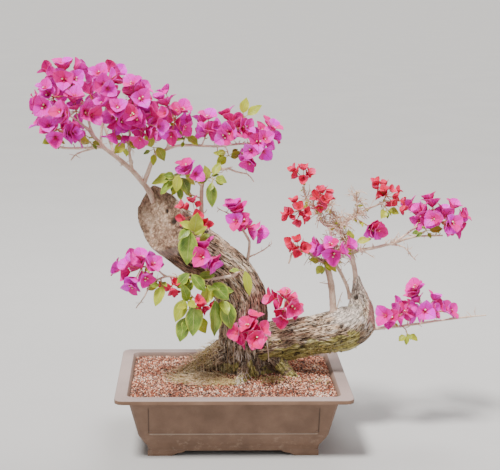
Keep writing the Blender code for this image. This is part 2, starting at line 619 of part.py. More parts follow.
def cut_flat(shell, point, normal, callus=False):
    """Cut a shell by a plane, and for an old saw cut sink its face inside a callus ring."""
    body = make_object("cut", shell)
    work = bmesh.new()
    work.from_mesh(body.data)
    everything = list(work.verts) + list(work.edges) + list(work.faces)
    normal = Vector(normal).normalized()
    cut = bmesh.ops.bisect_plane(work, geom=everything, plane_co=Vector(point) * MM,
                                 plane_no=normal, clear_outer=True)
    rim = [e for e in cut["geom_cut"] if isinstance(e, bmesh.types.BMEdge)]
    face = bmesh.ops.contextual_create(work, geom=rim)["faces"][0]
    if callus:
        bmesh.ops.inset_region(work, faces=[face], thickness=CALLUS_WIDTH * MM,
                               depth=CALLUS_DEPTH * MM * 0.4)
        bmesh.ops.inset_region(work, faces=[face], thickness=CALLUS_WIDTH * MM * 0.5,
                               depth=-CALLUS_DEPTH * MM)
    points = [v.co / MM for v in work.verts]
    work.verts.index_update()
    faces = [tuple(v.index for v in f.verts) for f in work.faces]
    work.free()
    bpy.data.objects.remove(body, do_unlink=True)
    return points, faces


def trunk_shell(route, steps, extra=0.0):
    line = curve_through(route, steps)
    radii = [p[3] + extra for p in line]
    return tube([p.to_3d() for p in line], radii, TRUNK_SIDES, RIB_DEPTH)


def root_shell(route, extra=0.0):
    line = [Vector(p[:3]) for p in route]
    line[-1] = line[-1] + (line[-1] - line[-2]).normalized() * extra
    return tube(line, [p[3] + extra for p in route], ROOT_SIDES)


def skeleton():
    """Points every few millimetres along the branches: (place, radius, route, distance)."""
    result = []
    for foot, tip, route in BRANCHES.values():
        line = [Vector(p) for p in route]
        spans = [(line[i + 1] - line[i]).length for i in range(len(line) - 1)]
        whole, walked = sum(spans), 0.0
        for i, span in enumerate(spans):
            for k in range(max(1, round(span / SKELETON_STEP))):
                t = k / max(1, round(span / SKELETON_STEP))
                distance = walked + span * t
                radius = foot + (tip - foot) * distance / whole
                result.append((line[i].lerp(line[i + 1], t), radius, id(route), distance))
            walked += span
        result.append((line[-1], tip, id(route), whole))
    return result


def twig_start(bones, target):
    """Where a twig that reaches the target leaves its branch: back along it from the nearest point."""
    nearest = min(bones, key=lambda bone: (bone[0] - target).length)
    back = nearest[3] - TWIG_SWEEP * (nearest[0] - target).length
    same = [bone for bone in bones if bone[2] == nearest[2]]
    return min(same, key=lambda bone: abs(bone[3] - back))


def twig_shell(bone, foot, direction):
    """A twig from a branch that ends just short of a foot, square to the way the stalk leaves."""
    thick = min(TWIG_RADIUS[0], bone[1] * 0.8)
    end = foot - direction * GAP
    bend = foot - direction * TWIG_STRAIGHT
    if direction.dot((foot - bone[0]).normalized()) > 0.999:
        return tube([bone[0], end], [thick, TWIG_RADIUS[1]], 3)
    return tube([bone[0], bend, end], [thick, TWIG_RADIUS[1], TWIG_RADIUS[1]], 3)


def bare_twigs(bones, others):
    """Short leafless twigs and thorns, thickest among the branches of the right trunk."""
    draw = random.Random(BARE_TWIG_SEED)
    shells = []
    inner = [bone for bone in bones if 105 < bone[0].x < 400 and 300 < bone[0].z < 450]
    while len(shells) < BARE_TWIGS:
        place = draw.choice(inner if draw.random() < 0.62 else bones)
        turn = draw.uniform(0, 2 * math.pi)
        rise = draw.uniform(-0.35, 0.9)
        across = math.sqrt(max(0.0, 1 - rise * rise))
        direction = Vector((across * math.cos(turn), across * math.sin(turn), rise))
        length = draw.uniform(8, 26)
        radius = min(0.9, place[1] * 0.7)
        shell = tube([place[0], place[0] + direction * length], [radius, radius * 0.6], 3)
        if not any(search_tree(shell, KEEP_CLEAR).overlap(other) for other in others):
            shells.append(shell)
    return shells


# Blooms and leaves


def search_tree(shell, grow=0.0):
    """A tree of a shell's triangles, grown along its points' outward normals."""
    if not grow:
        return BVHTree.FromPolygons([Vector(p) for p in shell[0]], shell[1])
    work = bmesh.new()
    corners = [work.verts.new(p) for p in shell[0]]
    for face in shell[1]:
        work.faces.new([corners[i] for i in face])
    bmesh.ops.recalc_face_normals(work, faces=work.faces)
    moves = [v.normal * grow for v in work.verts]
    for vertex, move in zip(work.verts, moves):
        vertex.co += move
    tree = BVHTree.FromBMesh(work)
    work.free()
    return tree


def body_tree(body):
    points = [v.co / MM for v in body.data.vertices]
    return BVHTree.FromPolygons(points, [tuple(p.vertices) for p in body.data.polygons])


def inside(tree, point, reach=70):
    """Whether a point is inside a thick closed body."""
    place, normal, _, distance = tree.find_nearest(point, reach)
    return place is not None and (point - place).dot(normal) < 0


def blade(front_foot, back_foot, outline, middle, thickness):
    """A thin blade on an existing edge: (points, faces) after the four points of its foot.

    The foot's points are 0, 1 in front and 2, 3 behind. Outline and middle are (place, normal).
    Both faces fan from the middle, or without one they are split into a ladder up to the tip.
    """
    points = list(front_foot) + list(back_foot)
    front, back = [0, 1], [2, 3]
    for place, normal in outline:
        front.append(len(points))
        points.append(place)
        back.append(len(points))
        points.append(place - normal * thickness)
    count = len(front)
    if middle:
        front.append(len(points))
        back.append(len(points) + 1)
        points += [middle[0], middle[0] - middle[1] * thickness]
        triangles = [(i, (i + 1) % count, count) for i in range(count)]
    else:
        rungs = [(0, 1)] + [(count - i, i + 1) for i in range(1, (count - 1) // 2)]
        triangles = [(rungs[-1][0], rungs[-1][1], rungs[-1][1] + 1)]
        for (left, right), (high_left, high_right) in zip(rungs[:-1], rungs[1:]):
            triangles += [(left, right, high_right), (left, high_right, high_left)]
    faces = [tuple(front[i] for i in t) for t in triangles]
    faces += [tuple(back[i] for i in reversed(t)) for t in triangles]
    for i in range(1, count):
        j = (i + 1) % count
        faces += [(front[j], front[i], back[i]), (front[j], back[i], back[j])]
    return points, faces


def bract_outline(core, axis, out, side, size, start, end, draw, young):
    """The edge points and the middle of one bract, as (place, inner normal)."""
    length = BRACT_LENGTH * size
    half = BRACT_HALF_WIDTH * size

    def station(s):
        angle = start + (end - start) * s
        radial = math.sin(start) * s + (math.sin(end) - math.sin(start)) * s * s / 2
        height = math.cos(start) * s + (math.cos(end) - math.cos(start)) * s * s / 2
        place = core + out * (CORE_RADIUS / 2 + length * radial) + axis * length * height
        return place, axis * math.sin(angle) - out * math.cos(angle)

    def edge(s, width, sign):
        place, normal = station(s)
        lift = 0.22 * width + draw.uniform(-0.6, 0.9) * size
        return place + side * width * sign + normal * lift, normal

    stations = [(0.5, half)] if young else [(0.34, half * 0.86), (0.70, half * 0.94)]
    right = [edge(s, width, 1) for s, width in stations]
    left = [edge(s, width, -1) for s, width in reversed(stations)]
    return right + [station(1.0)] + left, station(0.5) if young else None


def bloom(head, hub, tilt_axis, size, draw):
    """Three bracts round a small core on a stalk that runs back to the hub, and their tips."""
    axis = tilt_axis.normalized()
    core = head - axis * BLOOM_DEPTH * size
    young = size < 0.75
    start = math.radians(draw.uniform(24, 34))
    end = math.radians(draw.uniform(62, 84) if not young else draw.uniform(40, 62))
    first = axis.orthogonal().normalized()
    twist = draw.uniform(0, 2 * math.pi)
    away = (core - hub).normalized()
    points, faces = [], []
    corners = []
    for k in range(3):
        turn = Matrix.Rotation(twist + math.radians(60 + 120 * k), 3, axis)
        corners.append((turn @ first) * CORE_RADIUS)
    for lift in (0.5, -0.5):
        points += [core + c + axis * lift * BRACT_THICKNESS for c in corners]
    for c in corners:
        flat = (c - away * c.dot(away)).normalized() * STALK_RADIUS * 0.7
        points.append(hub + flat)
    faces.append((0, 1, 2))
    for i in range(3):
        j = (i + 1) % 3
        faces += [(3 + j, 3 + i, 6 + i), (3 + j, 6 + i, 6 + j)]
    faces.append((8, 7, 6))
    tips = []
    for k in range(3):
        out = Matrix.Rotation(twist + math.radians(120 * k), 3, axis) @ first
        side = axis.cross(out)
        outline, middle = bract_outline(core, axis, out, side, size, start, end, draw, young)
        before, after = (k + 2) % 3, k
        leaf_points, leaf_faces = blade([points[before], points[after]],
                                        [points[3 + before], points[3 + after]],
                                        outline, middle, BRACT_THICKNESS)
        numbers = [before, after, 3 + before, 3 + after]
        numbers += range(len(points), len(points) + len(leaf_points) - 4)
        points += leaf_points[4:]
        faces += [tuple(numbers[i] for i in face) for face in leaf_faces]
        tips.append(outline[len(outline) // 2][0])
    return (points, faces), tips


def leaf(foot, tip, width, facing, stem_point):
    """An arched blade folded a little along its midrib, on a short stalk from the stem."""
    line = tip - foot
    along = line.normalized()
    facing = (facing - along * facing.dot(along)).normalized()
    side = along.cross(facing)

    def place(s, sign, share):
        bend = -0.10 * line.length * s * s
        lift = 0.13 * width * share
        return foot + line * s + side * sign * width * share / 2 + facing * (bend + lift)

    if width > SMALL_LEAF:
        outline = [(place(0.30, -1, 0.94), facing), (place(0.66, -1, 0.80), facing),
                   (place(1.0, 0, 0), facing), (place(0.66, 1, 0.80), facing),
                   (place(0.30, 1, 0.94), facing)]
        middle = (place(0.46, 0, 0), facing)
    else:
        outline = [(place(0.42, -1, 1.0), facing), (place(1.0, 0, 0), facing),
                   (place(0.42, 1, 1.0), facing)]
        middle = None
    half = side * 0.7
    front = [foot + half, foot - half]
    back = [p - facing * LEAF_THICKNESS for p in front]
    points, faces = blade(front, back, outline, middle, LEAF_THICKNESS)
    start = len(points)
    points += [stem_point + half * 0.8 + facing * 0.4, stem_point - half * 0.8 + facing * 0.4,
               stem_point + half * 0.8 - facing * 0.4, stem_point - half * 0.8 - facing * 0.4]
    ring, far = [0, 1, 3, 2], [start, start + 1, start + 3, start + 2]
    for i in range(4):
        j = (i + 1) % 4
        faces += [(ring[j], ring[i], far[i]), (ring[j], far[i], far[j])]
    faces += [(far[3], far[2], far[1]), (far[3], far[1], far[0])]
    return (points, faces), [tip + facing * -0.10 * line.length]


def tilted(direction, draw, degrees):
    """A direction turned by a random angle up to the given one."""
    turn = Matrix.Rotation(draw.uniform(0, 2 * math.pi), 3, direction)
    lean = Matrix.Rotation(math.radians(draw.uniform(0, degrees)), 3,
                           turn @ direction.orthogonal().normalized())
    return lean @ direction


def bloom_attempt(name, number, attempt, head, hub, size):
    draw = random.Random(f"{name} {number} {attempt}")
    reach = 1.2 + 0.12 * attempt
    moved = Vector(head) + Vector([draw.uniform(-reach, reach) for _ in range(3)])
    size *= draw.uniform(0.94, 1.06) * SHRINK ** (attempt // SHRINK_AFTER)
    outward = (moved - hub).normalized() + Vector((0, -0.15, 0.25))
    return bloom(moved, hub, tilted(outward.normalized(), draw, 16 + attempt * 0.3), size, draw)


def leaf_attempt(name, number, attempt, foot, tip, width, stem_point):
    draw = random.Random(f"{name} leaf {number} {attempt}")
    foot, tip = Vector(foot), Vector(tip)
    size = SHRINK ** (attempt // SHRINK_AFTER)
    reach = 0.8 + 0.10 * attempt
    tip = foot + (tip - foot) * size + Vector([draw.uniform(-reach, reach) for _ in range(3)])
    facing = tilted(Vector((0.1, -0.75, 0.65)).normalized(), draw, 22 + attempt * 0.6)
    return leaf(foot, tip, width * size, facing, stem_point)


def node_knob(hub):
    """The small swelling where the stalks of a spray part."""
    points = [hub + Vector(v) * KNOB_RADIUS for v in
              [(1, 0, 0), (0, 1, 0), (-1, 0, 0), (0, -1, 0), (0, 0, 1), (0, 0, -1)]]
    faces = [(i, (i + 1) % 4, 4) for i in range(4)] + [((i + 1) % 4, i, 5) for i in range(4)]
    return points, faces


def first_clear(make, obstacles, solids, siblings):
    """The first attempt that stays clear of the obstacles and isn't buried in a solid body.

    Up to SIBLINGS_APART attempts it also stays clear of the blades of its own spray.
    """
    for attempt in range(ATTEMPTS):
        shell, tips = make(attempt)
        grown = search_tree(shell, KEEP_CLEAR)
        if any(inside(solid, tip) for solid in solids for tip in tips):
            continue
        if attempt < SIBLINGS_APART and any(grown.overlap(other) for other in siblings):
            continue
        if not any(grown.overlap(other) for other in obstacles):
            return shell
    return None


def spray_layout(bones):
    """For each spray of blooms its foot and hub, and the twig of wood that reaches the foot."""
    layout = {}
    for name, (size, heads) in BLOOM_SPRAYS.items():
        heads = [Vector(h) for h in heads]
        middle = sum(heads, Vector()) / len(heads)
        bone = twig_start(bones, middle)
        away = (middle - bone[0]).normalized()
        stalk = min(STALK_LENGTH, 0.6 * (middle - bone[0]).length)
        foot = middle - away * stalk
        hub = middle - away * (stalk * 0.45)
        layout[name] = (foot, hub, twig_shell(bone, foot, away))
    return layout


def stem_layout(bones):
    layout = {}
    for name, (route, leaves) in LEAFY_STEMS.items():
        start, ahead = Vector(route[0]), Vector(route[1])
        bone = twig_start(bones, start)
        layout[name] = twig_shell(bone, start, (ahead - start).normalized())
    return layout


def closest_on(route, point, number):
    """The point of a stem from which a leaf's stalk leaves, each a little further along."""
    best = None
    for a, b in zip(route[:-1], route[1:]):
        t = max(0.15, min(0.90, (point - a).dot(b - a) / (b - a).length_squared))
        place = a.lerp(b, t)
        if best is None or (place - point).length < (best - point).length:
            best = place
            ahead = (b - a).normalized()
    return best + ahead * 0.55 * (number - 1.5)


def main():
    clear_scene()
    plastic = make_material("pot_plastic", (0.235, 0.150, 0.105), 0.5)
    mesh_plastic = make_material("screen_plastic", (0.02, 0.02, 0.02), 0.6)
    gravel = make_material("gravel", (0.42, 0.20, 0.14), 0.95)
    bark = make_material("bark", (0.40, 0.31, 0.22), 0.9)
    bract = make_material("bract", (0.80, 0.03, 0.30), 0.6)
    young_bract = make_material("young_bract", (0.75, 0.07, 0.10), 0.6)
    green = make_material("leaf", (0.26, 0.38, 0.06), 0.4)

    bones = skeleton()
    sprays = spray_layout(bones)
    stems = stem_layout(bones)

    stalks = {}
    for name, (foot, hub, _) in sprays.items():
        stalks[name] = [tube([foot, hub], [STALK_RADIUS, STALK_RADIUS], 3), node_knob(hub)]
    for name, (route, _) in LEAFY_STEMS.items():
        stalks["leaf " + name] = [tube(route, [LEAFY_STEM_RADIUS] * len(route), 4)]
    stalk_trees = {name: [search_tree(shell) for shell in shells]
                   for name, shells in stalks.items()}

    trunk_steps = 1
    shells = [cut_flat(trunk_shell(TRUNK, trunk_steps), SAW_CUT_POINT, SAW_CUT_NORMAL, callus=True),
              cut_flat(trunk_shell(LIMB, trunk_steps), CHOP_POINT, CHOP_NORMAL)]
    shells += [root_shell(route) for route in ROOTS]
    for foot, tip, route in BRANCHES.values():
        count = len(route) - 1
        radii = [foot + (tip - foot) * i / count for i in range(count + 1)]
        sides = next(count for least, count in BRANCH_SIDES if foot > least)
        shells.append(tube(route, radii, sides))
    shells += [sprays[name][2] for name in sprays] + [stems[name] for name in stems]
    shells += bare_twigs(bones, [tree for trees in stalk_trees.values() for tree in trees])
    tree = fuse("tree", shells, bark)

    pot_body = pot(plastic)
    screens = [screen("drain_screen_left", -DRAIN_HOLE_X, mesh_plastic),
               screen("drain_screen_right", DRAIN_HOLE_X, mesh_plastic)]
    buried = [(30, 26, 84 - GAP, 52)] + TRUNK[1:5]
    sockets = [trunk_shell(buried, trunk_steps, GAP)]
    sockets += [root_shell(route, GAP) for route in ROOTS]
    soil_body = soil(gravel, sockets)

    solids = [body_tree(tree)]
    placed = [body_tree(b) for b in (tree, pot_body, soil_body)]
    for name, (size, heads) in BLOOM_SPRAYS.items():
        foot, hub, _ = sprays[name]
        others = [t for key, trees in stalk_trees.items() if key != name for t in trees]
        own = list(stalks[name])
        own_trees, blades = [], []
        for number, head in enumerate(heads):
            def make(attempt):
                return bloom_attempt(name, number, attempt, head, hub, size)
            shell = first_clear(make, placed + others, solids, blades)
            if shell is None:
                print("no room for bloom", number, "of", name)
                continue
            own.append(shell)
            own_trees.append(search_tree(shell))
            blades.append(search_tree((shell[0], shell[1][BLOOM_STALK_FACES:])))
        material = young_bract if size == YOUNG else bract
        fuse("bloom_spray_" + name, own, material)
        placed += own_trees
    for name, (route, leaves) in LEAFY_STEMS.items():
        line = [Vector(p) for p in route]
        others = [t for key, trees in stalk_trees.items() if key != "leaf " + name for t in trees]
        own = list(stalks["leaf " + name])
        own_trees, blades = [], []
        for number, (foot, tip, width) in enumerate(leaves):
            stem_point = closest_on(line, Vector(foot), number)
            def make(attempt):
                return leaf_attempt(name, number, attempt, foot, tip, width, stem_point)
            shell = first_clear(make, placed + others, solids, blades)
            if shell is None:
                print("no room for leaf", number, "of", name)
                continue
            own.append(shell)
            own_trees.append(search_tree(shell))
            blades.append(search_tree((shell[0], shell[1][:-LEAF_STALK_FACES])))
        fuse("leafy_stem_" + name, own, green)
        placed += own_trees

    corners = [Vector(c) for item in bpy.data.objects for c in item.bound_box]
    low = Vector([min(c[i] for c in corners) for i in range(3)])
    high = Vector([max(c[i] for c in corners) for i in range(3)])
    shift = -Vector(((low.x + high.x) / 2, (low.y + high.y) / 2, low.z))
    for item in bpy.data.objects:
        item.location = shift


main()
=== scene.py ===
"""The looks of a bougainvillea bonsai in its pot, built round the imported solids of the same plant.

Sizes are in millimetres from the middle of the pot's underside, X to the right, Y to the back, Z up.
"""

import math
import random

import bmesh
import bpy
import numpy as np
from mathutils import Matrix, Vector, noise
from mathutils.bvhtree import BVHTree
from mathutils.kdtree import KDTree


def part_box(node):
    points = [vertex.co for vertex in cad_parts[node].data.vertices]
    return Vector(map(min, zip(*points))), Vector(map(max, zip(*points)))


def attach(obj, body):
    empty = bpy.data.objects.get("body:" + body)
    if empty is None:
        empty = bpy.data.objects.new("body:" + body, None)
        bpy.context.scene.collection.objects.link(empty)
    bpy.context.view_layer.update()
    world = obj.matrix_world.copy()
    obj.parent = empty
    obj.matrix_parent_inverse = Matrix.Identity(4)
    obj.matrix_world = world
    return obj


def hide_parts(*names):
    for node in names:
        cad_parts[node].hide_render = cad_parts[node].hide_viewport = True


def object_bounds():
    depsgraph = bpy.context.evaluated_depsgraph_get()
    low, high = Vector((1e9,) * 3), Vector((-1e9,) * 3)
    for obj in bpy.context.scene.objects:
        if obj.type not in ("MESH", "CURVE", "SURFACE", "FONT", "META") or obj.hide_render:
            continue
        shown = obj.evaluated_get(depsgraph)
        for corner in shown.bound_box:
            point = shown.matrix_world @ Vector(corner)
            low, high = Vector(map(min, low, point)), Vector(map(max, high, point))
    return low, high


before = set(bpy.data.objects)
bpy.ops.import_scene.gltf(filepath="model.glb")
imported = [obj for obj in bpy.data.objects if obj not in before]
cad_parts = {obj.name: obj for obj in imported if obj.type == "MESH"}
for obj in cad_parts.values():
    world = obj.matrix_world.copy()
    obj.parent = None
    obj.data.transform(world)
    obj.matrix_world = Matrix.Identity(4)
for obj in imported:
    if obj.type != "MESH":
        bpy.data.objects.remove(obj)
cad_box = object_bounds()
bpy.ops.object.select_all(action="DESELECT")


# Pot. A training pot of brown plastic, moulded in one piece with its feet and wall panels.
# Its solid is copied, its moulded edges are rounded, and it stands on its four feet.

MM = 0.001
POT_EDGE_ROUNDING = 0.9 * MM
PANEL_HALF_LENGTH, PANEL_LOW_EDGE = 144 * MM, 45.2 * MM     # of the panel in the front wall
pot_low, pot_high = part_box("pot")
ORIGIN = Vector(((pot_low.x + pot_high.x) / 2, (pot_low.y + pot_high.y) / 2, pot_low.z))


class Value:
    """A shader socket that takes part in plain Python sums."""

    def __init__(self, finish, socket):
        self.finish = finish
        self.socket = socket

    def __add__(self, other):
        return self.finish.sum("ADD", self, other)

    def __sub__(self, other):
        return self.finish.sum("SUBTRACT", self, other)

    def __rsub__(self, other):
        return self.finish.sum("SUBTRACT", other, self)

    def __mul__(self, other):
        return self.finish.sum("MULTIPLY", self, other)

    def __pow__(self, other):
        return self.finish.sum("POWER", self, other)

    __radd__ = __add__
    __rmul__ = __mul__


class Finish:
    """A material in the making. Every node comes from node(), which returns one of its outputs."""

    def __init__(self, name, roughness=0.6):
        self.material = bpy.data.materials.new(name)
        self.material.use_nodes = True
        self.tree = self.material.node_tree
        self.shader = self.tree.nodes["Principled BSDF"]
        self.set("Roughness", roughness)

    def node(self, kind, settings=None, inputs=None, output=0):
        made = self.tree.nodes.new("ShaderNode" + kind)
        for key, value in (settings or {}).items():
            if key == "stops":
                while len(made.color_ramp.elements) < len(value):
                    made.color_ramp.elements.new(1.0)
                for element, (place, colour) in zip(made.color_ramp.elements, value):
                    element.position = place
                    element.color = (*colour, 1)
            else:
                setattr(made, key, value)
        for key, value in (inputs or {}).items():
            self.feed(made.inputs[key], value)
        return Value(self, made.outputs[output])

    def feed(self, socket, value):
        if isinstance(value, Value):
            self.tree.links.new(value.socket, socket)
        elif isinstance(value, tuple) and len(value) == 3 and socket.type == "RGBA":
            socket.default_value = (*value, 1)
        else:
            socket.default_value = value

    def set(self, socket, value):
        self.feed(self.shader.inputs[socket], value)

    def place(self):
        return self.node("TexCoord", output="Object")

    def attribute(self, name, output="Fac"):
        return self.node("Attribute", {"attribute_name": name}, output=output)

    def sum(self, operation, *values):
        return self.node("Math", {"operation": operation}, dict(enumerate(values)))

    def parts(self, vector):
        split = self.node("SeparateXYZ", inputs={0: vector})
        return [Value(self, split.socket.node.outputs[i]) for i in range(3)]

    def noise(self, vector, scale, detail=3.0, roughness=0.55):
        return self.node("TexNoise", inputs={"Vector": vector, "Scale": scale,
                                             "Detail": detail, "Roughness": roughness})

    def cells(self, vector, scale, feature="F1", output="Distance"):
        return self.node("TexVoronoi", {"feature": feature},
                         {"Vector": vector, "Scale": scale}, output=output)

    def step(self, value, low, high):
        return self.node("MapRange", {"interpolation_type": "SMOOTHSTEP"},
                         {"Value": value, "From Min": low, "From Max": high})

    def ramp(self, value, stops):
        return self.node("ValToRGB", {"stops": stops}, {0: value}, output="Color")

    def blend(self, share, first, second, how="MIX"):
        return self.node("Mix", {"data_type": "RGBA", "blend_type": how},
                         {0: share, 6: first, 7: second}, output=2)

    def bump(self, height, depth, strength=1.0):
        self.set("Normal", self.node("Bump", inputs={"Height": height, "Distance": depth,
                                                     "Strength": strength}))


def pot_frame(points):
    """Points in the script's millimetres, moved to the frame's metres."""
    return np.asarray(points, float) * MM + np.array(ORIGIN)


def alone(piece):
    bpy.ops.object.select_all(action="DESELECT")
    piece.select_set(True)
    bpy.context.view_layer.objects.active = piece


def piece_from(name, points, faces):
    """A new object from points in millimetres."""
    mesh = bpy.data.meshes.new(name)
    mesh.from_pydata(pot_frame(points).tolist(), [], faces)
    mesh.update()
    piece = bpy.data.objects.new(name, mesh)
    bpy.context.scene.collection.objects.link(piece)
    return piece


def copied_solid(node, name):
    """A copy of a node's solid with its loose triangles joined and its flat faces whole."""
    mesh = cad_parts[node].data.copy()
    mesh.materials.clear()
    piece = bpy.data.objects.new(name, mesh)
    bpy.context.scene.collection.objects.link(piece)
    alone(piece)
    bpy.ops.object.mode_set(mode="EDIT")
    bpy.ops.mesh.select_all(action="SELECT")
    bpy.ops.mesh.remove_doubles(threshold=0.00001)
    bpy.ops.mesh.dissolve_limited(angle_limit=math.radians(1))
    bpy.ops.object.mode_set(mode="OBJECT")
    return piece


def apply_modifier(piece, kind, **settings):
    change = piece.modifiers.new(kind.lower(), kind)
    for key, value in settings.items():
        setattr(change, key, value)
    alone(piece)
    bpy.ops.object.modifier_apply(modifier=change.name)


def add_to_plant(piece, finish, slot, *nodes, smooth=None):
    """Give a piece its material and its body, and hide the nodes that it stands for."""
    piece.data.materials.clear()
    piece.data.materials.append(finish.material)
    if smooth is not None:
        alone(piece)
        bpy.ops.object.shade_smooth_by_angle(angle=math.radians(smooth))
    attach(piece, "root")
    if nodes:
        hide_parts(*nodes)


moulded_plastic = Finish("moulded_brown_plastic")
moulded_plastic.set("Specular IOR Level", 0.4)
where = moulded_plastic.place()
height = moulded_plastic.parts(where)[2]
up = moulded_plastic.parts(moulded_plastic.node("NewGeometry", output="Normal"))[2]
cloud = moulded_plastic.noise(where, 22, 5)
speck = moulded_plastic.noise(where, 900, 2)
dried = moulded_plastic.noise(where, 75, 6, 0.7)
dust = moulded_plastic.step(up, 0.35, 0.95) * 0.6
splash = moulded_plastic.step(dried, 0.52, 0.70) * moulded_plastic.step(height, 0.075, 0.015)
colour = moulded_plastic.ramp(cloud, [(0.30, (0.155, 0.088, 0.055)), (0.52, (0.210, 0.122, 0.079)),
                                      (0.75, (0.265, 0.162, 0.110))])
colour = moulded_plastic.blend(dust, colour, (0.540, 0.450, 0.440))
colour = moulded_plastic.blend(splash * 0.55, colour, (0.400, 0.285, 0.215))
sideways, _, _ = moulded_plastic.parts(where)
sideways = moulded_plastic.sum("ABSOLUTE", sideways - ORIGIN.x)
_, facing, _ = moulded_plastic.parts(moulded_plastic.node("NewGeometry", output="Normal"))
front = moulded_plastic.step(moulded_plastic.sum("ABSOLUTE", facing), 0.75, 0.9)
beside_end = moulded_plastic.sum("ABSOLUTE", sideways - PANEL_HALF_LENGTH)
beside_low = moulded_plastic.sum("ABSOLUTE", height - PANEL_LOW_EDGE)
# painted shade: a dark line along the ends of the recessed panel, where its groove lies in shade
groove_shade = (moulded_plastic.step(beside_end, 0.0016, 0.0005) * front
          * moulded_plastic.step(height, PANEL_LOW_EDGE, PANEL_LOW_EDGE + 0.004)
          * moulded_plastic.step(height, 0.100, 0.092))
# painted highlight: a light line along the panel's lower edge, where it catches the light
ledge_highlight = (moulded_plastic.step(beside_low, 0.0014, 0.0004) * front
         * moulded_plastic.step(sideways, PANEL_HALF_LENGTH, PANEL_HALF_LENGTH - 0.003))
colour = moulded_plastic.blend(groove_shade * 0.75, colour, (0.060, 0.034, 0.022))
colour = moulded_plastic.blend(ledge_highlight * (0.45 + cloud * 0.5), colour, (0.520, 0.410, 0.330))
colour = moulded_plastic.blend(moulded_plastic.step(speck, 0.58, 0.72) * 0.35, colour,
                               (0.100, 0.060, 0.045))
moulded_plastic.set("Base Color", colour)
moulded_plastic.set("Roughness", 0.46 + dried * 0.22 + dust * 0.2)
moulded_plastic.bump(speck * 0.5 + moulded_plastic.noise(where, 260, 2) * 0.5, 0.0004, 0.6)

pot = copied_solid("pot", "training_pot")
apply_modifier(pot, "BEVEL", width=POT_EDGE_ROUNDING, segments=3, limit_method="ANGLE",
               angle_limit=math.radians(25), harden_normals=False)
add_to_plant(pot, moulded_plastic, "pot_plastic", "pot", smooth=35)


# Drain screens. Squares of black plastic mesh that lie over the drain holes, under the soil.
# They stay as their solids and get the dull finish of moulded mesh with soil dust on it.

screen_finish = Finish("black_mesh_plastic", 0.6)
where = screen_finish.place()
grime = screen_finish.step(screen_finish.noise(where, 180, 4), 0.45, 0.75)
screen_finish.set("Base Color", screen_finish.blend(grime * 0.6, (0.016, 0.016, 0.017),
                                                    (0.11, 0.065, 0.045)))
screen_finish.set("Roughness", 0.45 + grime * 0.4)
screen_finish.bump(screen_finish.noise(where, 1200, 2), 0.0002)
for node in ("drain_screen_left", "drain_screen_right"):
    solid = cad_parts[node]
    solid.data.materials.clear()
    solid.data.materials.append(screen_finish.material)


# Soil. A fine gravel mix of broken brick-red lava, pumice and grit, heaped towards the trunk.
# The fill keeps its solid, and loose grains lie on its top, each one a chipped small stone.

GRAINS = 7600
GRAIN_SIZES = (0.9, 2.2)
SOIL_INSET = 25.0
RIM_HALF_LENGTH, RIM_HALF_WIDTH = 200.0, 147.5

gravel_bed = Finish("gravel_bed", 0.95)
where = gravel_bed.place()
grit = gravel_bed.cells(where, 420, output="Color")
hollow = gravel_bed.cells(where, 420)
tone = gravel_bed.parts(grit)[0]
colour = gravel_bed.ramp(tone, [(0.0, (0.060, 0.026, 0.018)), (0.35, (0.230, 0.088, 0.055)),
                                (0.70, (0.360, 0.165, 0.120)), (0.95, (0.580, 0.430, 0.360))])
# painted shade: darker towards the cells' borders, in the gaps between the grains
gravel_bed.set("Base Color", gravel_bed.blend(gravel_bed.step(hollow, 0.30, 0.62), colour,
                                              (0.030, 0.014, 0.010)))
gravel_bed.bump(1 - hollow, 0.0016)
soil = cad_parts["soil"]
soil.data.materials.clear()
soil.data.materials.append(gravel_bed.material)


def solid_tree(node):
    """A search tree of a node's solid, in the script's millimetres."""
    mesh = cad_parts[node].data
    points = [(v.co - ORIGIN) / MM for v in mesh.vertices]
    return BVHTree.FromPolygons(points, [tuple(p.vertices) for p in mesh.polygons])


def is_inside(tree, point):
    place, normal, _, _ = tree.find_nearest(point)
    return (point - place).dot(normal) < 0


def template(piece):
    """A primitive's points and faces, taken off it for placing copies by rule."""
    mesh = piece.data
    points = np.array([v.co for v in mesh.vertices])
    faces = [tuple(p.vertices) for p in mesh.polygons]
    bpy.data.objects.remove(piece, do_unlink=True)
    return points, faces


BOX_LOW, BOX_HIGH = ((np.array(corner) - np.array(ORIGIN)) / MM for corner in cad_box)


class Shells:
    """Many small closed shells that become one piece, with values on their points.

    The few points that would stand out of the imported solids' box are laid on it.
    """

    def __init__(self):
        self.points = []
        self.faces = []
        self.values = {}
        self.count = 0

    def add(self, points, faces, **values):
        self.faces += [tuple(i + self.count for i in face) for face in faces]
        self.points.append(np.asarray(points, float))
        for key, value in values.items():
            value = np.asarray(value, float)
            if value.shape[:1] != (len(points),):
                value = np.broadcast_to(value, (len(points), *value.shape))
            self.values.setdefault(key, []).append(value)
        self.count += len(points)

    def piece(self, name):
        made = piece_from(name, np.clip(np.concatenate(self.points), BOX_LOW, BOX_HIGH), self.faces)
        for key, value in self.values.items():
            value = np.concatenate(value)
            kind = "FLOAT_VECTOR" if value.ndim == 2 else "FLOAT"
            layer = made.data.attributes.new(key, kind, "POINT")
            layer.data.foreach_set("vector" if value.ndim == 2 else "value",
                                   value.astype(np.float32).ravel())
        return made


def turned(draw):
    """A random rotation as a 3 by 3 array."""
    axis = Vector([draw.gauss(0, 1) for _ in range(3)]).normalized()
    return np.array(Matrix.Rotation(draw.uniform(0, 2 * math.pi), 3, axis))


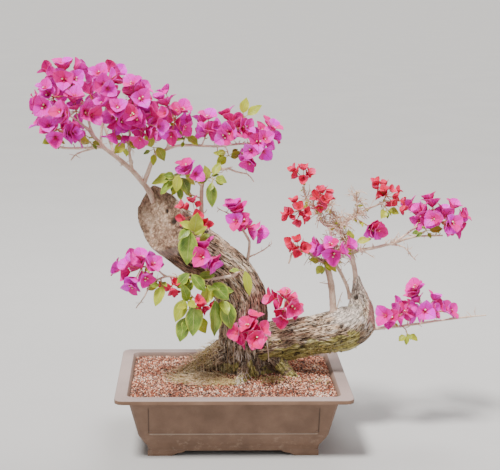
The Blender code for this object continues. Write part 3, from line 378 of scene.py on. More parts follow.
bpy.ops.mesh.primitive_ico_sphere_add(subdivisions=1, radius=1)
stone_points, stone_faces = template(bpy.context.object)
soil_tree, wood_tree = solid_tree("soil"), solid_tree("tree")
draw = random.Random(5)
grains = Shells()
while grains.count < GRAINS * len(stone_points):
    x = draw.uniform(-1, 1) * (RIM_HALF_LENGTH - SOIL_INSET - 0.5)
    y = draw.uniform(-1, 1) * (RIM_HALF_WIDTH - SOIL_INSET - 0.5)
    size = GRAIN_SIZES[0] + (GRAIN_SIZES[1] - GRAIN_SIZES[0]) * draw.random() ** 2.2
    top = soil_tree.ray_cast(Vector((x, y, 160)), Vector((0, 0, -1)))[0]
    if top is None or top.z < 105 or is_inside(wood_tree, top + Vector((0, 0, 0.6))):
        continue
    shape = stone_points * np.array([[draw.uniform(0.65, 1.2) for _ in range(3)]])
    shape = shape * np.array([[draw.uniform(0.78, 1.12)] for _ in range(len(stone_points))])
    spot = np.array(top) + (0, 0, draw.uniform(-0.1, 0.5) * size)
    grains.add(shape @ turned(draw) * size + spot, stone_faces, tone=draw.random())

gravel = Finish("gravel_grains", 0.9)
tone = gravel.attribute("tone")
where = gravel.place()
pores = gravel.noise(where, 1400, 3, 0.7)
patch = gravel.noise(where, 18, 3)
colour = gravel.ramp(tone * 0.85 + (patch - 0.44) * 1.15,
                     [(0.00, (0.045, 0.022, 0.016)), (0.12, (0.240, 0.066, 0.035)),
                      (0.34, (0.480, 0.150, 0.080)), (0.56, (0.760, 0.350, 0.220)),
                      (0.78, (0.920, 0.570, 0.410)), (0.92, (0.960, 0.730, 0.580)),
                      (1.00, (0.960, 0.850, 0.740))])
gravel.set("Base Color", gravel.blend(gravel.step(pores, 0.55, 0.75) * 0.5, colour,
                                      (0.060, 0.025, 0.018)))
gravel.bump(pores, 0.0004)
add_to_plant(grains.piece("gravel_grains"), gravel, "gravel")


# Trunks and roots. Two old trunks of one plant fork at the base: the left one was sawn off and
# healed into a callus round the cut, the right one was chopped. Grown wood, fused in one skin,
# with bark that splits along the grain, moss on the shaded right trunk and weathered cuts.

# each route is a line of (x, y, z, radius)
TRUNK = [(30, 26, 84, 52), (28, 25, 106, 56), (26, 24, 124, 52), (22, 20, 155, 46),
         (19, 16, 190, 43), (18, 13, 225, 42), (13, 11, 262, 43), (-12, 9, 298, 43),
         (-56, 6, 332, 43), (-98, 4, 366, 44), (-130, 2, 396, 46), (-172, 0, 436, 46)]
LIMB = [(20, 18, 156, 36), (55, 15, 167, 38), (93, 14, 175, 36), (138, 14, 184, 35),
        (176, 14, 190, 37), (206, 14, 200, 38), (226, 14, 222, 32), (223, 14, 248, 20),
        (220, 14, 270, 11), (217, 14, 292, 5)]
ROOTS = [
    [(6, 18, 165, 26), (-26, 14, 146, 22), (-55, 8, 130, 14), (-82, 0, 119, 9), (-106, -6, 108, 5)],
    [(26, -4, 150, 18), (20, -28, 126, 13), (9, -50, 110, 8), (-2, -68, 95, 4)],
    [(66, 6, 152, 24), (86, -4, 129, 16), (110, -16, 111, 8), (128, -26, 96, 4)],
    [(20, 50, 148, 20), (0, 76, 120, 12), (-22, 98, 98, 5)],
    [(50, 44, 148, 18), (79, 71, 117, 10), (102, 92, 96, 4)],
]
SAW_CUT_POINT, SAW_CUT_NORMAL = (-124, 0, 396), (-0.64, -0.70, 0.31)
CHOP_POINT, CHOP_NORMAL = (247, 0, 215), (0.93, -0.28, 0.24)
RIBS = 5
TRUNK_RIB_DEPTH = 0.05
CALLUS_WIDTH, CALLUS_DEPTH = 7.0, 3.0
WOOD_VOXEL = 1.9
GRAIN_STRETCH = 0.14            # noise runs this much slower along the wood than across it
# knots and cavities as (place, reach, depth)
BEND = (200, 232)                # middle of the pale bare wood at the bend, as (x, z)
KNOTS = [((203, -14, 262), 6.5, 4.5), ((187, -24, 213), 7, 3.5), ((-18, -34, 262), 9, 3.0),
         ((120, -22, 170), 8, 3.0), ((48, -26, 196), 12, 5.0), ((-74, -34, 318), 6, 2.4),
         ((-118, -32, 402), 9, 3.5), ((-140, -26, 420), 6, 2.5)]


def frames(route):
    """At each point of a route the two directions across it, turned as little as possible."""
    tangents = []
    for i in range(len(route)):
        before, after = route[max(i - 1, 0)], route[min(i + 1, len(route) - 1)]
        tangents.append((after - before).normalized())
    start = Vector((0, -1, 0)) if abs(tangents[0].y) < 0.9 else Vector((1, 0, 0))
    side = (start - tangents[0] * start.dot(tangents[0])).normalized()
    result = []
    for i, tangent in enumerate(tangents):
        if i:
            side = tangents[i - 1].rotation_difference(tangent) @ side
            side = (side - tangent * side.dot(tangent)).normalized()
        result.append((side, tangent.cross(side)))
    return result


def curve_through(points, steps):
    """A smooth line through points of any number of coordinates (Catmull-Rom)."""
    points = [Vector(p) for p in points]
    ends = [points[0] * 2 - points[1]] + points + [points[-1] * 2 - points[-2]]
    line = []
    for i in range(1, len(ends) - 2):
        a, b, c, d = ends[i - 1:i + 3]
        for k in range(steps):
            t = k / steps
            line.append((b * 2 + (c - a) * t + (a * 2 - b * 5 + c * 4 - d) * t * t
                         + (b * 3 - a - c * 3 + d) * t * t * t) / 2)
    line.append(points[-1])
    return line


def tube(route, radii, sides, rib_depth=0.0):
    """A closed tube round a line."""
    points, faces = [], []
    for centre, radius, (side, across) in zip(route, radii, frames(route)):
        for k in range(sides):
            angle = 2 * math.pi * k / sides
            reach = radius * (1 + rib_depth * math.cos(RIBS * angle))
            points.append(centre + side * reach * math.cos(angle)
                          + across * reach * math.sin(angle))
    for first in range(0, len(points) - sides, sides):
        for k in range(sides):
            a, b = first + k, first + (k + 1) % sides
            faces.append((a, b, b + sides, a + sides))
    faces += [tuple(reversed(range(sides))), tuple(range(len(points) - sides, len(points)))]
    return points, faces


def cut_flat(piece, point, normal, callus=0.0):
    """Cut a piece by a plane, and for a healed cut sink its face inside a raised ring."""
    work = bmesh.new()
    work.from_mesh(piece.data)
    everything = list(work.verts) + list(work.edges) + list(work.faces)
    cut = bmesh.ops.bisect_plane(work, geom=everything, plane_co=ORIGIN + Vector(point) * MM,
                                 plane_no=Vector(normal).normalized(), clear_outer=True)
    rim = [e for e in cut["geom_cut"] if isinstance(e, bmesh.types.BMEdge)]
    face = bmesh.ops.contextual_create(work, geom=rim)["faces"][0]
    if callus:
        bmesh.ops.inset_region(work, faces=[face], thickness=CALLUS_WIDTH * MM,
                               depth=CALLUS_DEPTH * MM * 0.4)
        bmesh.ops.inset_region(work, faces=[face], thickness=CALLUS_WIDTH * MM * 0.5,
                               depth=-callus * MM)
    work.to_mesh(piece.data)
    work.free()


def smooth_share(value, low, high):
    share = np.clip((value - low) / (high - low), 0, 1)
    return share * share * (3 - 2 * share)


def noise_at(points):
    """Smooth noise from -1 to 1 at each row of an array."""
    return np.array([noise.noise(p) for p in np.asarray(points, float).tolist()])


trunk_lines = [curve_through(TRUNK, 12), curve_through(LIMB, 12)]
trunk_lines += [curve_through(route, 8) for route in ROOTS]
parts_of_wood = []
for number, line in enumerate(trunk_lines):
    thick = number < 2
    points, faces = tube([p.to_3d() for p in line], [p[3] for p in line], 40 if thick else 20,
                         TRUNK_RIB_DEPTH if thick else 0.0)
    parts_of_wood.append(piece_from(f"wood_{number}", points, faces))
cut_flat(parts_of_wood[0], SAW_CUT_POINT, SAW_CUT_NORMAL, callus=CALLUS_DEPTH)
cut_flat(parts_of_wood[1], CHOP_POINT, CHOP_NORMAL)
alone(parts_of_wood[0])
for part in parts_of_wood:
    part.select_set(True)
bpy.ops.object.join()
trunks = bpy.context.object
trunks.name = "trunks_and_roots"
apply_modifier(trunks, "REMESH", mode="VOXEL", voxel_size=WOOD_VOXEL * MM)
apply_modifier(trunks, "SMOOTH", factor=0.5, iterations=3)

# every vertex takes its grain from the route whose axis is nearest for its thickness
centres, sizes, sides, acrosses, alongs, walked, owners = [], [], [], [], [], [], []
for number, line in enumerate(trunk_lines):
    axis = [p.to_3d() for p in line]
    distance = 0.0
    for i, (side, across) in enumerate(frames(axis)):
        distance += (axis[i] - axis[i - 1]).length if i else 0.0
        for store, value in ((centres, axis[i]), (sizes, line[i][3]), (sides, side),
                             (acrosses, across), (alongs, side.cross(across)),
                             (walked, distance), (owners, number)):
            store.append(value)
centres, sides, acrosses, alongs = map(np.array, (centres, sides, acrosses, alongs))
sizes, walked, owners = map(np.array, (sizes, walked, owners))
count = len(trunks.data.vertices)
flat = np.empty(count * 3)
trunks.data.vertices.foreach_get("co", flat)
skin = (flat.reshape(-1, 3) - np.array(ORIGIN)) / MM
trunks.data.vertex_normals.foreach_get("vector", flat)
outward = flat.reshape(-1, 3).copy()
nearest = np.concatenate([
    np.argmin(np.linalg.norm(block[:, None] - centres[None], axis=2) / sizes[None], axis=1)
    for block in np.array_split(skin, max(1, count // 4000))])
offset = skin - centres[nearest]
grain = np.stack([(offset * sides[nearest]).sum(1), (offset * acrosses[nearest]).sum(1),
                  (walked[nearest] + (offset * alongs[nearest]).sum(1)) * GRAIN_STRETCH], axis=1)
grain += owners[nearest][:, None] * 31.7
thickness = np.clip(sizes[nearest] / 30, 0.15, 1.0)


def face_share(point, normal, depth, owner, spread):
    """How much of a vertex belongs to a cut face: near its plane and turned along its normal."""
    normal = np.array(Vector(normal).normalized())
    behind = (skin - np.array(point)) @ normal
    return (smooth_share(behind, -depth, -depth * 0.5) * (owners[nearest] == owner)
            * smooth_share(outward @ normal, 1 - spread, 1 - spread / 2))


saw_face = face_share(SAW_CUT_POINT, SAW_CUT_NORMAL, 8.0, 0, 0.25)
chop_face = face_share(CHOP_POINT, CHOP_NORMAL, 5.0, 1, 0.25)
callus = face_share(SAW_CUT_POINT, SAW_CUT_NORMAL, 16.0, 0, 1.4) * (1 - saw_face)
cut = np.maximum(saw_face, chop_face)
ribs = noise_at(grain / 15)
lumps = noise_at(skin / 34 + 7)
plates = noise_at(grain / 4.6 + 3)
splits = smooth_share(-np.abs(plates), -0.13, 0.0)
deep_splits = smooth_share(-np.abs(noise_at(grain / 11 + 9)), -0.10, 0.0)
fibres = noise_at(grain / 2.0 + 17)
moving = (2.8 * ribs + 2.4 * lumps) * thickness - 1.5 * splits * thickness
moving -= 2.8 * deep_splits * thickness
moving += 0.7 * fibres * thickness
ring = np.array([[1.0, 0.25, 1.0]])
on_cut = 1.2 * noise_at(skin / 9 + 40) + 0.8 * noise_at(skin * ring / 3.5)
moving = moving * (1 - cut) * (1 - 0.6 * callus) + on_cut * cut
# painted shade: near black inside the knot hollows and in the fork where the trunks part
dark = np.zeros(count)
for place, reach, depth in KNOTS:
    place = skin[np.argmin(np.linalg.norm(skin - np.array(place), axis=1))]
    away = np.linalg.norm(skin - place, axis=1) + 2.0 * lumps * reach / 8
    hollow = smooth_share(-away, -reach, -reach * 0.25)
    ring_round = smooth_share(-np.abs(away - reach * 1.2), -reach * 0.5, 0.0)
    moving += 0.22 * depth * ring_round * (1 - hollow) - depth * hollow
    dark = np.maximum(dark, smooth_share(-away, -reach * 0.95, -reach * 0.35))
skin = skin + outward * moving[:, None]
trunks.data.vertices.foreach_set("co", pot_frame(skin).ravel())

height, right = skin[:, 2], skin[:, 0]
mossy = noise_at(skin / 21 + 50) + 0.5 * noise_at(skin / 6 + 60)
under = np.clip(0.35 - outward[:, 2], 0, 1)
limb_moss = (owners[nearest] == 1) * smooth_share(right, 30, 90) * smooth_share(-right, -240, -205)
base_moss = smooth_share(-height, -176, -128) * smooth_share(-height, -200, -150)
moss = np.clip(limb_moss * (0.12 + 1.35 * under) + 0.70 * base_moss + 0.60 * mossy - 0.42, 0, 1)
moss = smooth_share(moss, 0.02, 0.55) * (1 - 0.9 * cut)
bare = (owners[nearest] == 1) * smooth_share(right, 150, 185) * smooth_share(
    noise_at(grain / 6 + 70) + 0.2 * noise_at(skin / 12), 0.12, 0.42) * (1 - cut)
# painted shade in the fork between the trunks, on faces turned to the right
crotch = smooth_share(-np.hypot(skin[:, 0] - 58, skin[:, 2] - 200), -52, -16)
dark = np.maximum(dark, 0.85 * crotch * smooth_share(outward[:, 0], -0.2, 0.5))
# darker towards the base, less so on the left
stain = smooth_share(-height - 14 * lumps, -196, -138) * (0.75 + 0.25 * fibres)
bare = np.maximum(bare, 0.7 * (owners[nearest] == 1) * smooth_share(height, 236, 262))
bare = np.maximum(bare, smooth_share(-np.hypot(skin[:, 0] - BEND[0], skin[:, 2] - BEND[1])
                                     + 8 * fibres + 5 * lumps, -34, -14) * (owners[nearest] == 1))
for key, value in (("moss", moss), ("cut", saw_face), ("chop", chop_face), ("callus", callus),
                   ("dark", dark),
                   ("stain", np.clip(stain, 0, 1)),
                   ("bare", bare), ("split", np.maximum(splits, deep_splits))):
    layer = trunks.data.attributes.new(key, "FLOAT", "POINT")
    layer.data.foreach_set("value", value.astype(np.float32))
layer = trunks.data.attributes.new("grain", "FLOAT_VECTOR", "POINT")
layer.data.foreach_set("vector", (grain / 10).astype(np.float32).ravel())

bark = Finish("old_bark", 0.85)
where = bark.place()
grain = bark.attribute("grain", "Vector")
moss, cut, chop = bark.attribute("moss"), bark.attribute("cut"), bark.attribute("chop")
callus = bark.attribute("callus")
dark, bare, split = bark.attribute("dark"), bark.attribute("bare"), bark.attribute("split")
stain = bark.attribute("stain")
upward = bark.parts(bark.node("NewGeometry", output="Normal"))[2]
strands = bark.noise(grain, 3.0, 6, 0.72)
threads = bark.noise(grain, 11, 4, 0.65)
patches = bark.noise(where, 24, 4, 0.6)
specks = bark.noise(where, 420, 4, 0.7)
lines = bark.noise(grain, 3.4, 4, 0.6)
cracks = bark.step(bark.sum("ABSOLUTE", lines - 0.5), 0.042, 0.004)
furrows = bark.step(bark.sum("ABSOLUTE", bark.noise(grain, 1.5, 3, 0.6) - 0.5), 0.030, 0.002)
colour = bark.ramp(strands * 0.6 + patches * 0.4,
                   [(0.36, (0.200, 0.106, 0.058)), (0.43, (0.490, 0.300, 0.180)),
                    (0.50, (0.780, 0.560, 0.380)), (0.57, (0.980, 0.840, 0.670))])
# painted shade: the bark is made darker where its faces turn downwards
colour = bark.blend(bark.step(upward, 0.2, -0.8) * 0.50, colour, (0.260, 0.160, 0.100), "MULTIPLY")
colour = bark.blend(bark.step(threads, 0.50, 0.66) * 0.45, colour, (0.210, 0.120, 0.070))
colour = bark.blend(bare * 0.85, colour, (0.960, 0.860, 0.770))
straw = bark.step(bark.parts(where)[0] - ORIGIN.x, 0.010, -0.045)
# darker towards the base, less so on the left
colour = bark.blend(stain * (0.72 - straw * 0.52), colour, (0.075, 0.044, 0.024))
colour = bark.blend((cracks * 0.80 + furrows * 0.85 + split * 0.45) * (1.0 - bare * 0.6), colour,
                    (0.040, 0.023, 0.015))
cut_wood = bark.ramp(bark.noise(where, 190, 6, 0.75) * 0.6 + bark.noise(where, 45, 3) * 0.4,
                     [(0.38, (0.130, 0.072, 0.042)), (0.47, (0.370, 0.230, 0.145)),
                      (0.54, (0.620, 0.430, 0.290)), (0.64, (0.900, 0.730, 0.560))])
colour = bark.blend(cut, colour, cut_wood)
colour = bark.blend(chop * 0.75, colour, bark.blend(bark.step(strands, 0.4, 0.6),
                                                      (0.420, 0.220, 0.150), (0.820, 0.560, 0.430)))
colour = bark.blend(callus * 0.45, colour, (0.800, 0.690, 0.600))
moss_share = bark.step(moss + (specks - 0.5) * 0.9 + (patches - 0.5) * 0.3, 0.25, 0.62)
moss_colour = bark.ramp(bark.noise(where, 60, 5, 0.7) * 0.45 + strands * 0.55,
                        [(0.36, (0.130, 0.100, 0.028)), (0.45, (0.380, 0.335, 0.070)),
                         (0.52, (0.640, 0.580, 0.140)), (0.60, (0.940, 0.870, 0.400))])
moss_colour = bark.blend(straw * 0.80, moss_colour, (0.900, 0.730, 0.480))
colour = bark.blend(moss_share * (0.74 - cracks * 0.5 - furrows * 0.5), colour, moss_colour)
# painted shade in the knot hollows and the fork
colour = bark.blend(dark * 0.9, colour, (0.022, 0.012, 0.008))
bark.set("Base Color", colour)
bark.set("Roughness", 0.72 + specks * 0.3)
bark.bump(strands * 0.5 + threads * 0.3 + specks * 0.2 - cracks * 0.7 - furrows * 0.8
          + moss_share * specks * 0.4, 0.0022, 1.0)
add_to_plant(trunks, bark, "bark", "tree")
alone(trunks)
bpy.ops.object.shade_smooth()


# Branches and twigs. Young wood with smooth pale bark that grows from the cuts, carries the
# sprays, and ends in bare twigs and thorns, most of them tangled inside the right crown.

# each branch is (radius at foot, radius at tip, route)
BRANCHES = {
    "left": (5.2, 2.8, [(-136, 34, 414), (-149, 31, 441), (-171, 24, 470), (-199, 16, 497),
                        (-224, 8, 518), (-238, 4, 535), (-249, 2, 550)]),
    "left_low": (2.4, 1.5, [(-226, 8, 518), (-259, -4, 517), (-293, -12, 519), (-311, -18, 534),
                            (-314, -20, 548)]),
    "left_spur": (1.6, 1.1, [(-240, 4, 516), (-266, -6, 508), (-277, -8, 497)]),
    "left_tip": (2.2, 1.4, [(-249, 2, 549), (-264, -3, 562), (-278, -6, 572)]),
    "left_inner": (2.3, 1.4, [(-240, 4, 538), (-248, 7, 562), (-253, 8, 587), (-269, 9, 602),
                              (-288, 10, 615)]),
    "left_upright": (2.3, 1.4, [(-228, 7, 520), (-226, 10, 545), (-221, 16, 576), (-212, 22, 600),
                                (-210, 26, 616)]),
    "left_back": (2.4, 1.4, [(-205, 14, 502), (-216, 34, 530), (-232, 52, 562), (-246, 60, 590)]),
    "second": (2.7, 1.5, [(-176, 22, 476), (-179, 8, 508), (-178, -2, 540), (-176, -6, 566),
                          (-170, -4, 584)]),
    "second_back": (2.2, 1.4, [(-179, 6, 512), (-168, 26, 540), (-158, 40, 566)]),
    "third": (3.2, 1.5, [(-156, 29, 452), (-137, 22, 499), (-117, 16, 513), (-94, 14, 520),
                         (-68, 12, 521), (-29, 12, 519), (1, 14, 523), (36, 16, 524)]),
    "third_up": (2.2, 1.3, [(-117, 16, 513), (-106, 12, 534), (-100, 8, 552)]),
    "third_fork": (2.0, 1.3, [(-30, 12, 519), (-8, 10, 534), (6, 10, 546)]),
    "shoulder": (4.4, 2.1, [(-54, 8, 362), (-55, 4, 392), (-56, 2, 419), (-54, 0, 457),
                            (-41, -2, 477), (-9, -4, 484)]),
    "shoulder_bare": (1.8, 0.9, [(-10, -4, 484), (4, -6, 478), (22, -8, 475), (33, -8, 462)]),
    "crest": (3.0, 1.5, [(22, 8, 310), (26, 4, 330), (27, 0, 356), (17, -2, 374), (10, -4, 390)]),
    "crest_right": (1.6, 0.9, [(25, 5, 326), (46, 4, 336), (64, 4, 349)]),
    "crest_left": (1.3, 0.8, [(11, -4, 388), (-8, -4, 404), (-28, -6, 415)]),
    "front": (3.0, 1.5, [(4, -20, 306), (3, -42, 307), (-16, -50, 304), (-43, -56, 302),
                         (-84, -62, 305), (-116, -64, 308), (-142, -66, 296)]),
    "front_drop": (1.6, 0.9, [(-142, -66, 297), (-152, -67, 274), (-166, -66, 254)]),
    "front_high": (1.8, 1.3, [(-43, -56, 302), (-50, -58, 322), (-57, -58, 336)]),
    "front_end": (1.8, 1.3, [(-116, -64, 308), (-132, -62, 320), (-146, -60, 328)]),
    "front_low": (1.9, 1.3, [(-80, -62, 305), (-84, -66, 290), (-82, -68, 274)]),
    "limb_first": (6.2, 5.2, [(179, 14, 214), (177, 13, 240), (174, 12, 266), (169, 10, 294),
                              (163, 8, 316)]),
    "limb_second": (3.2, 2.6, [(207, 14, 250), (201, 12, 272), (191, 8, 294), (180, 6, 313)]),
    "limb_third": (4.6, 3.9, [(217, 14, 280), (214, 14, 302), (210, 14, 318), (204, 14, 334)]),
    "first_up": (3.4, 2.0, [(163, 8, 314), (162, 5, 336), (170, 2, 356), (166, 0, 380)]),
    "second_up": (2.6, 1.8, [(180, 6, 312), (184, 0, 334), (176, -6, 356)]),
    "third_up_right": (3.4, 2.4, [(204, 14, 333), (194, 14, 350), (188, 13, 368), (185, 12, 386)]),
    "long_right": (3.4, 1.5, [(204, 14, 334), (230, 10, 340), (274, 4, 351), (315, 0, 365),
                              (363, -4, 368)]),
    "long_right_back": (2.4, 1.4, [(276, 4, 351), (300, 22, 362), (326, 40, 376)]),
    "long_right_drop": (1.5, 0.8, [(278, 4, 351), (298, 0, 346), (310, -2, 332), (318, -4, 324)]),
    "upper_right": (3.0, 1.5, [(186, 13, 378), (203, 18, 393), (218, 20, 401), (240, 22, 412),
                               (266, 24, 424)]),
    "upper_right_bare": (1.4, 0.8, [(216, 20, 399), (215, 20, 420), (214, 20, 443)]),
    "upper_left": (2.6, 1.4, [(185, 12, 382), (157, 8, 385), (143, 4, 413), (126, 2, 428),
                              (118, 0, 452)]),
    "upper_back": (2.4, 1.4, [(185, 12, 384), (176, 34, 398), (162, 56, 414)]),
    "inner_left": (3.2, 1.5, [(163, 8, 314), (139, 4, 330), (118, 2, 340), (103, 0, 336),
                              (96, -4, 318)]),
    "right_low": (2.8, 1.1, [(246, 8, 196), (270, 7, 199), (296, 4, 202), (348, 0, 211),
                             (385, -4, 218), (420, -7, 223), (446, -8, 226)]),
    "thorn": (1.1, 0.6, [(173, 12, 277), (160, 9, 279), (152, 8, 281)]),
    "limb_wire": (1.0, 0.6, [(184, 14, 232), (188, 13, 248), (193, 12, 262)]),
    "crotch_root": (1.1, 0.7, [(58, -18, 184), (61, -30, 166), (62, -32, 148)]),
}
FULL, YOUNG = 1.0, 0.60
# each spray is (size of its blooms, their middles)
BLOOM_SPRAYS = {
    "top_left": (FULL, [(-290, -4, 662), (-308, 16, 638), (-268, 22, 650), (-283, -32, 634)]),
    "left_edge": (FULL, [(-313, -16, 612), (-330, 10, 596), (-318, -42, 590), (-300, 34, 604)]),
    "left_low": (FULL, [(-332, -4, 562), (-314, 26, 562), (-308, -26, 556), (-284, -12, 545),
                        (-262, -30, 548), (-278, 24, 546)]),
    "left_front": (FULL, [(-268, -38, 606), (-246, -48, 584), (-282, -48, 578)]),
    "crown": (FULL, [(-228, 0, 645), (-206, 22, 634), (-240, 30, 632), (-218, -28, 628)]),
    "crown_front": (FULL, [(-220, -36, 598), (-196, -38, 586), (-206, -10, 608), (-208, -14, 538),
                           (-196, -10, 560)]),
    "crown_back": (FULL, [(-252, 78, 610), (-226, 66, 594), (-268, 66, 588)]),
    "crown_right": (FULL, [(-182, 5, 630), (-170, 26, 612), (-160, -16, 608)]),
    "second_head": (FULL, [(-152, 2, 596), (-136, -18, 580), (-166, -34, 570), (-144, -12, 548),
                           (-160, -28, 536)]),
    "second_rear": (FULL, [(-150, 58, 584), (-170, 56, 592), (-142, 44, 562)]),
    "right_of_crown": (FULL, [(-118, 8, 598), (-98, -6, 582), (-124, -12, 574), (-92, 2, 560),
                              (-76, 14, 566)]),
    "middle_left": (FULL, [(-45, 2, 552), (-50, 26, 544), (-34, -12, 562)]),
    "middle_top": (FULL, [(-6, 8, 570), (16, -10, 552), (-14, -22, 546), (8, 30, 560)]),
    "middle_right": (FULL, [(50, 4, 548), (42, 26, 536), (40, -16, 532), (60, 12, 528),
                            (24, -10, 500)]),
    "shoulder": (FULL, [(-82, -10, 482)]),
    "shoulder_young": (YOUNG, [(-72, -16, 432), (-88, -44, 404), (-52, -46, 398)]),
    "crest": (FULL, [(8, -8, 414), (14, -16, 396), (32, -6, 376)]),
    "front_left": (FULL, [(-184, -62, 316), (-170, -76, 302), (-156, -60, 342), (-140, -74, 334),
                          (-164, -40, 326)]),
    "front_middle": (FULL, [(-50, -66, 364), (-38, -70, 338)]),
    "front_young_left": (YOUNG, [(-104, -74, 286), (-112, -68, 292)]),
    "front_young_right": (YOUNG, [(-58, -82, 268), (-50, -76, 256)]),
    "base_front": (FULL, [(26, -66, 222), (14, -72, 206), (36, -78, 204), (32, -60, 236)]),
    "base_back": (FULL, [(78, -22, 256), (98, -6, 252), (86, -34, 240)]),
    "upper_left_top": (YOUNG, [(104, -2, 476), (118, 6, 484), (130, -2, 478)]),
    "upper_left_side": (YOUNG, [(100, -4, 410), (112, -12, 420), (90, 6, 400), (120, -8, 402)]),
    "upper_middle": (YOUNG, [(140, 0, 436), (156, -8, 432), (164, 8, 440), (154, 14, 420)]),
    "upper_rear": (YOUNG, [(158, 66, 434), (148, 76, 424), (166, 78, 420)]),
    "centre_right": (FULL, [(148, -18, 346), (170, -24, 338), (190, -20, 344)]),
    "inner_left": (YOUNG, [(110, -10, 360), (118, -16, 350), (100, -14, 350)]),
    "long_right_single": (FULL, [(239, -4, 380)]),
    "upper_right": (YOUNG, [(248, 18, 450), (262, 26, 452), (282, 26, 430), (290, 20, 424),
                            (254, 30, 434)]),
    "long_right_end": (FULL, [(326, -8, 412), (344, 10, 424), (338, -20, 396), (366, -2, 414),
                              (388, -10, 396), (392, 6, 380), (372, -22, 390)]),
    "long_right_rear": (FULL, [(330, 56, 400), (346, 44, 388)]),
    "right_low_near": (FULL, [(276, -6, 222), (294, 10, 230), (304, -10, 234)]),
    "right_low_end": (FULL, [(318, -2, 272), (336, -12, 234), (352, 12, 228), (374, -6, 236),
                             (326, 20, 224)]),
}
# each leafy stem is (route, leaves as (foot, tip, width))
LEAFY_STEMS = {
    "front_upper": ([(-58, -62, 346), (-66, -66, 367), (-73, -68, 397)],
                    [((-75, -72, 388), (-80, -76, 332), 33), ((-70, -70, 394), (-92, -70, 404), 14),
                     ((-68, -66, 382), (-48, -72, 396), 14), ((-62, -60, 362), (-46, -56, 350), 14)]),
    "front_middle": ([(-66, -68, 306), (-72, -74, 316)],
                     [((-77, -76, 316), (-98, -80, 294), 20),
                      ((-72, -80, 315), (-48, -84, 287), 21)]),
    "front_right": ([(-38, -62, 297), (-30, -68, 284), (-22, -70, 272)],
                    [((-36, -68, 297), (-10, -76, 272), 27), ((-33, -78, 270), (-30, -82, 208), 27),
                     ((-16, -74, 268), (-5, -78, 220), 28)]),
    "front_low": ([(-80, -72, 272), (-76, -78, 258), (-76, -76, 244)],
                  [((-84, -78, 272), (-100, -82, 234), 23), ((-68, -86, 266), (-69, -92, 210), 31),
                   ((-82, -76, 240), (-93, -76, 196), 26), ((-62, -76, 240), (-46, -72, 210), 22)]),
    "front_end": ([(-124, -68, 304), (-122, -72, 294)],
                  [((-120, -76, 294), (-134, -82, 262), 20),
                   ((-128, -66, 296), (-150, -56, 284), 14)]),
    "trunk_front": ([(12, -46, 314), (16, -50, 318)], [((18, -52, 315), (28, -54, 272), 16)]),
    "shoulder_left": ([(-90, -4, 446), (-98, -8, 460), (-96, -10, 474)],
                      [((-104, -12, 462), (-127, -14, 442), 21), ((-96, -18, 474), (-99, -24, 446), 17),
                       ((-106, -4, 470), (-142, 0, 458), 22), ((-90, -10, 468), (-76, -14, 440), 20),
                       ((-92, 4, 474), (-104, 24, 462), 20), ((-84, 4, 470), (-66, 14, 452), 17)]),
    "shoulder_bend": ([(-44, -6, 470), (-36, -14, 466)],
                      [((-46, -12, 468), (-50, -18, 490), 15),
                       ((-32, -18, 470), (-12, -20, 462), 16),
                       ((-40, -16, 460), (-37, -20, 418), 20),
                       ((-36, -12, 474), (-24, -2, 494), 15)]),
    "left_spur": ([(-242, -6, 524), (-248, -8, 532)],
                  [((-246, -12, 526), (-266, -14, 536), 18), ((-246, -4, 534), (-248, 20, 536), 16)]),
    "left_low_tip": ([(-300, -20, 530), (-304, -22, 540)],
                     [((-302, -26, 540), (-308, -32, 560), 14),
                      ((-306, -22, 536), (-324, -22, 528), 13)]),
    "second": ([(-180, -6, 522), (-184, -10, 530)],
               [((-178, -14, 530), (-158, -18, 520), 18), ((-186, -14, 526), (-204, -18, 510), 18),
                ((-190, -8, 532), (-212, -2, 540), 16)]),
    "third_first": ([(-136, 14, 508), (-138, 10, 518)],
                    [((-142, 8, 518), (-148, 6, 548), 19), ((-132, 6, 518), (-118, 0, 496), 18)]),
    "third_second": ([(-86, 14, 530), (-84, 12, 536)],
                     [((-88, 10, 537), (-92, 8, 556), 14), ((-80, 8, 536), (-62, 2, 524), 18),
                      ((-82, 18, 536), (-78, 40, 530), 17)]),
    "middle_top": ([(14, 12, 558), (16, 14, 570)],
                   [((14, 14, 577), (20, 16, 604), 17), ((22, 10, 574), (46, 8, 592), 16)]),
    "middle_low": ([(-12, 8, 512), (-10, 4, 504)],
                   [((-6, 2, 502), (14, -2, 512), 16), ((-14, 4, 502), (-32, 2, 490), 17)]),
    "inner_right": ([(152, 0, 320), (156, -4, 318)],
                    [((160, -6, 320), (180, -10, 306), 16), ((154, -6, 314), (144, -10, 300), 14)]),
    "third_knot": ([(208, 12, 344), (210, 10, 352)],
                   [((206, 8, 354), (200, 6, 376), 14), ((216, 8, 354), (240, 4, 362), 14)]),
    "long_right": ([(326, -4, 372), (334, -6, 378)],
                   [((332, -10, 380), (318, -14, 388), 15), ((340, -8, 378), (362, -12, 382), 16),
                    ((336, 0, 380), (352, 18, 378), 15)]),
    "right_low": ([(306, -4, 196), (308, -6, 190)],
                  [((312, -8, 190), (326, -10, 180), 13), ((304, -8, 188), (292, -10, 180), 13)]),
    "upper_right": ([(262, 20, 416), (268, 18, 410)],
                    [((272, 18, 410), (290, 16, 402), 14), ((266, 14, 408), (256, 8, 396), 13)]),
}
SKELETON_STEP = 4.0
TWIG_SWEEP = 0.40               # how far towards its parent's foot a twig starts
TWIG_RADIUS = (1.3, 0.9)
STALK_LENGTH = 26.0
BARE_TWIGS, BARE_TWIG_SEED = 40, 19
TANGLE_TWIGS, SIDE_TWIGS = 430, 300
BASE_BACK_START = Vector((80, 22, 204))    # that spray's twig sprouts from the right trunk


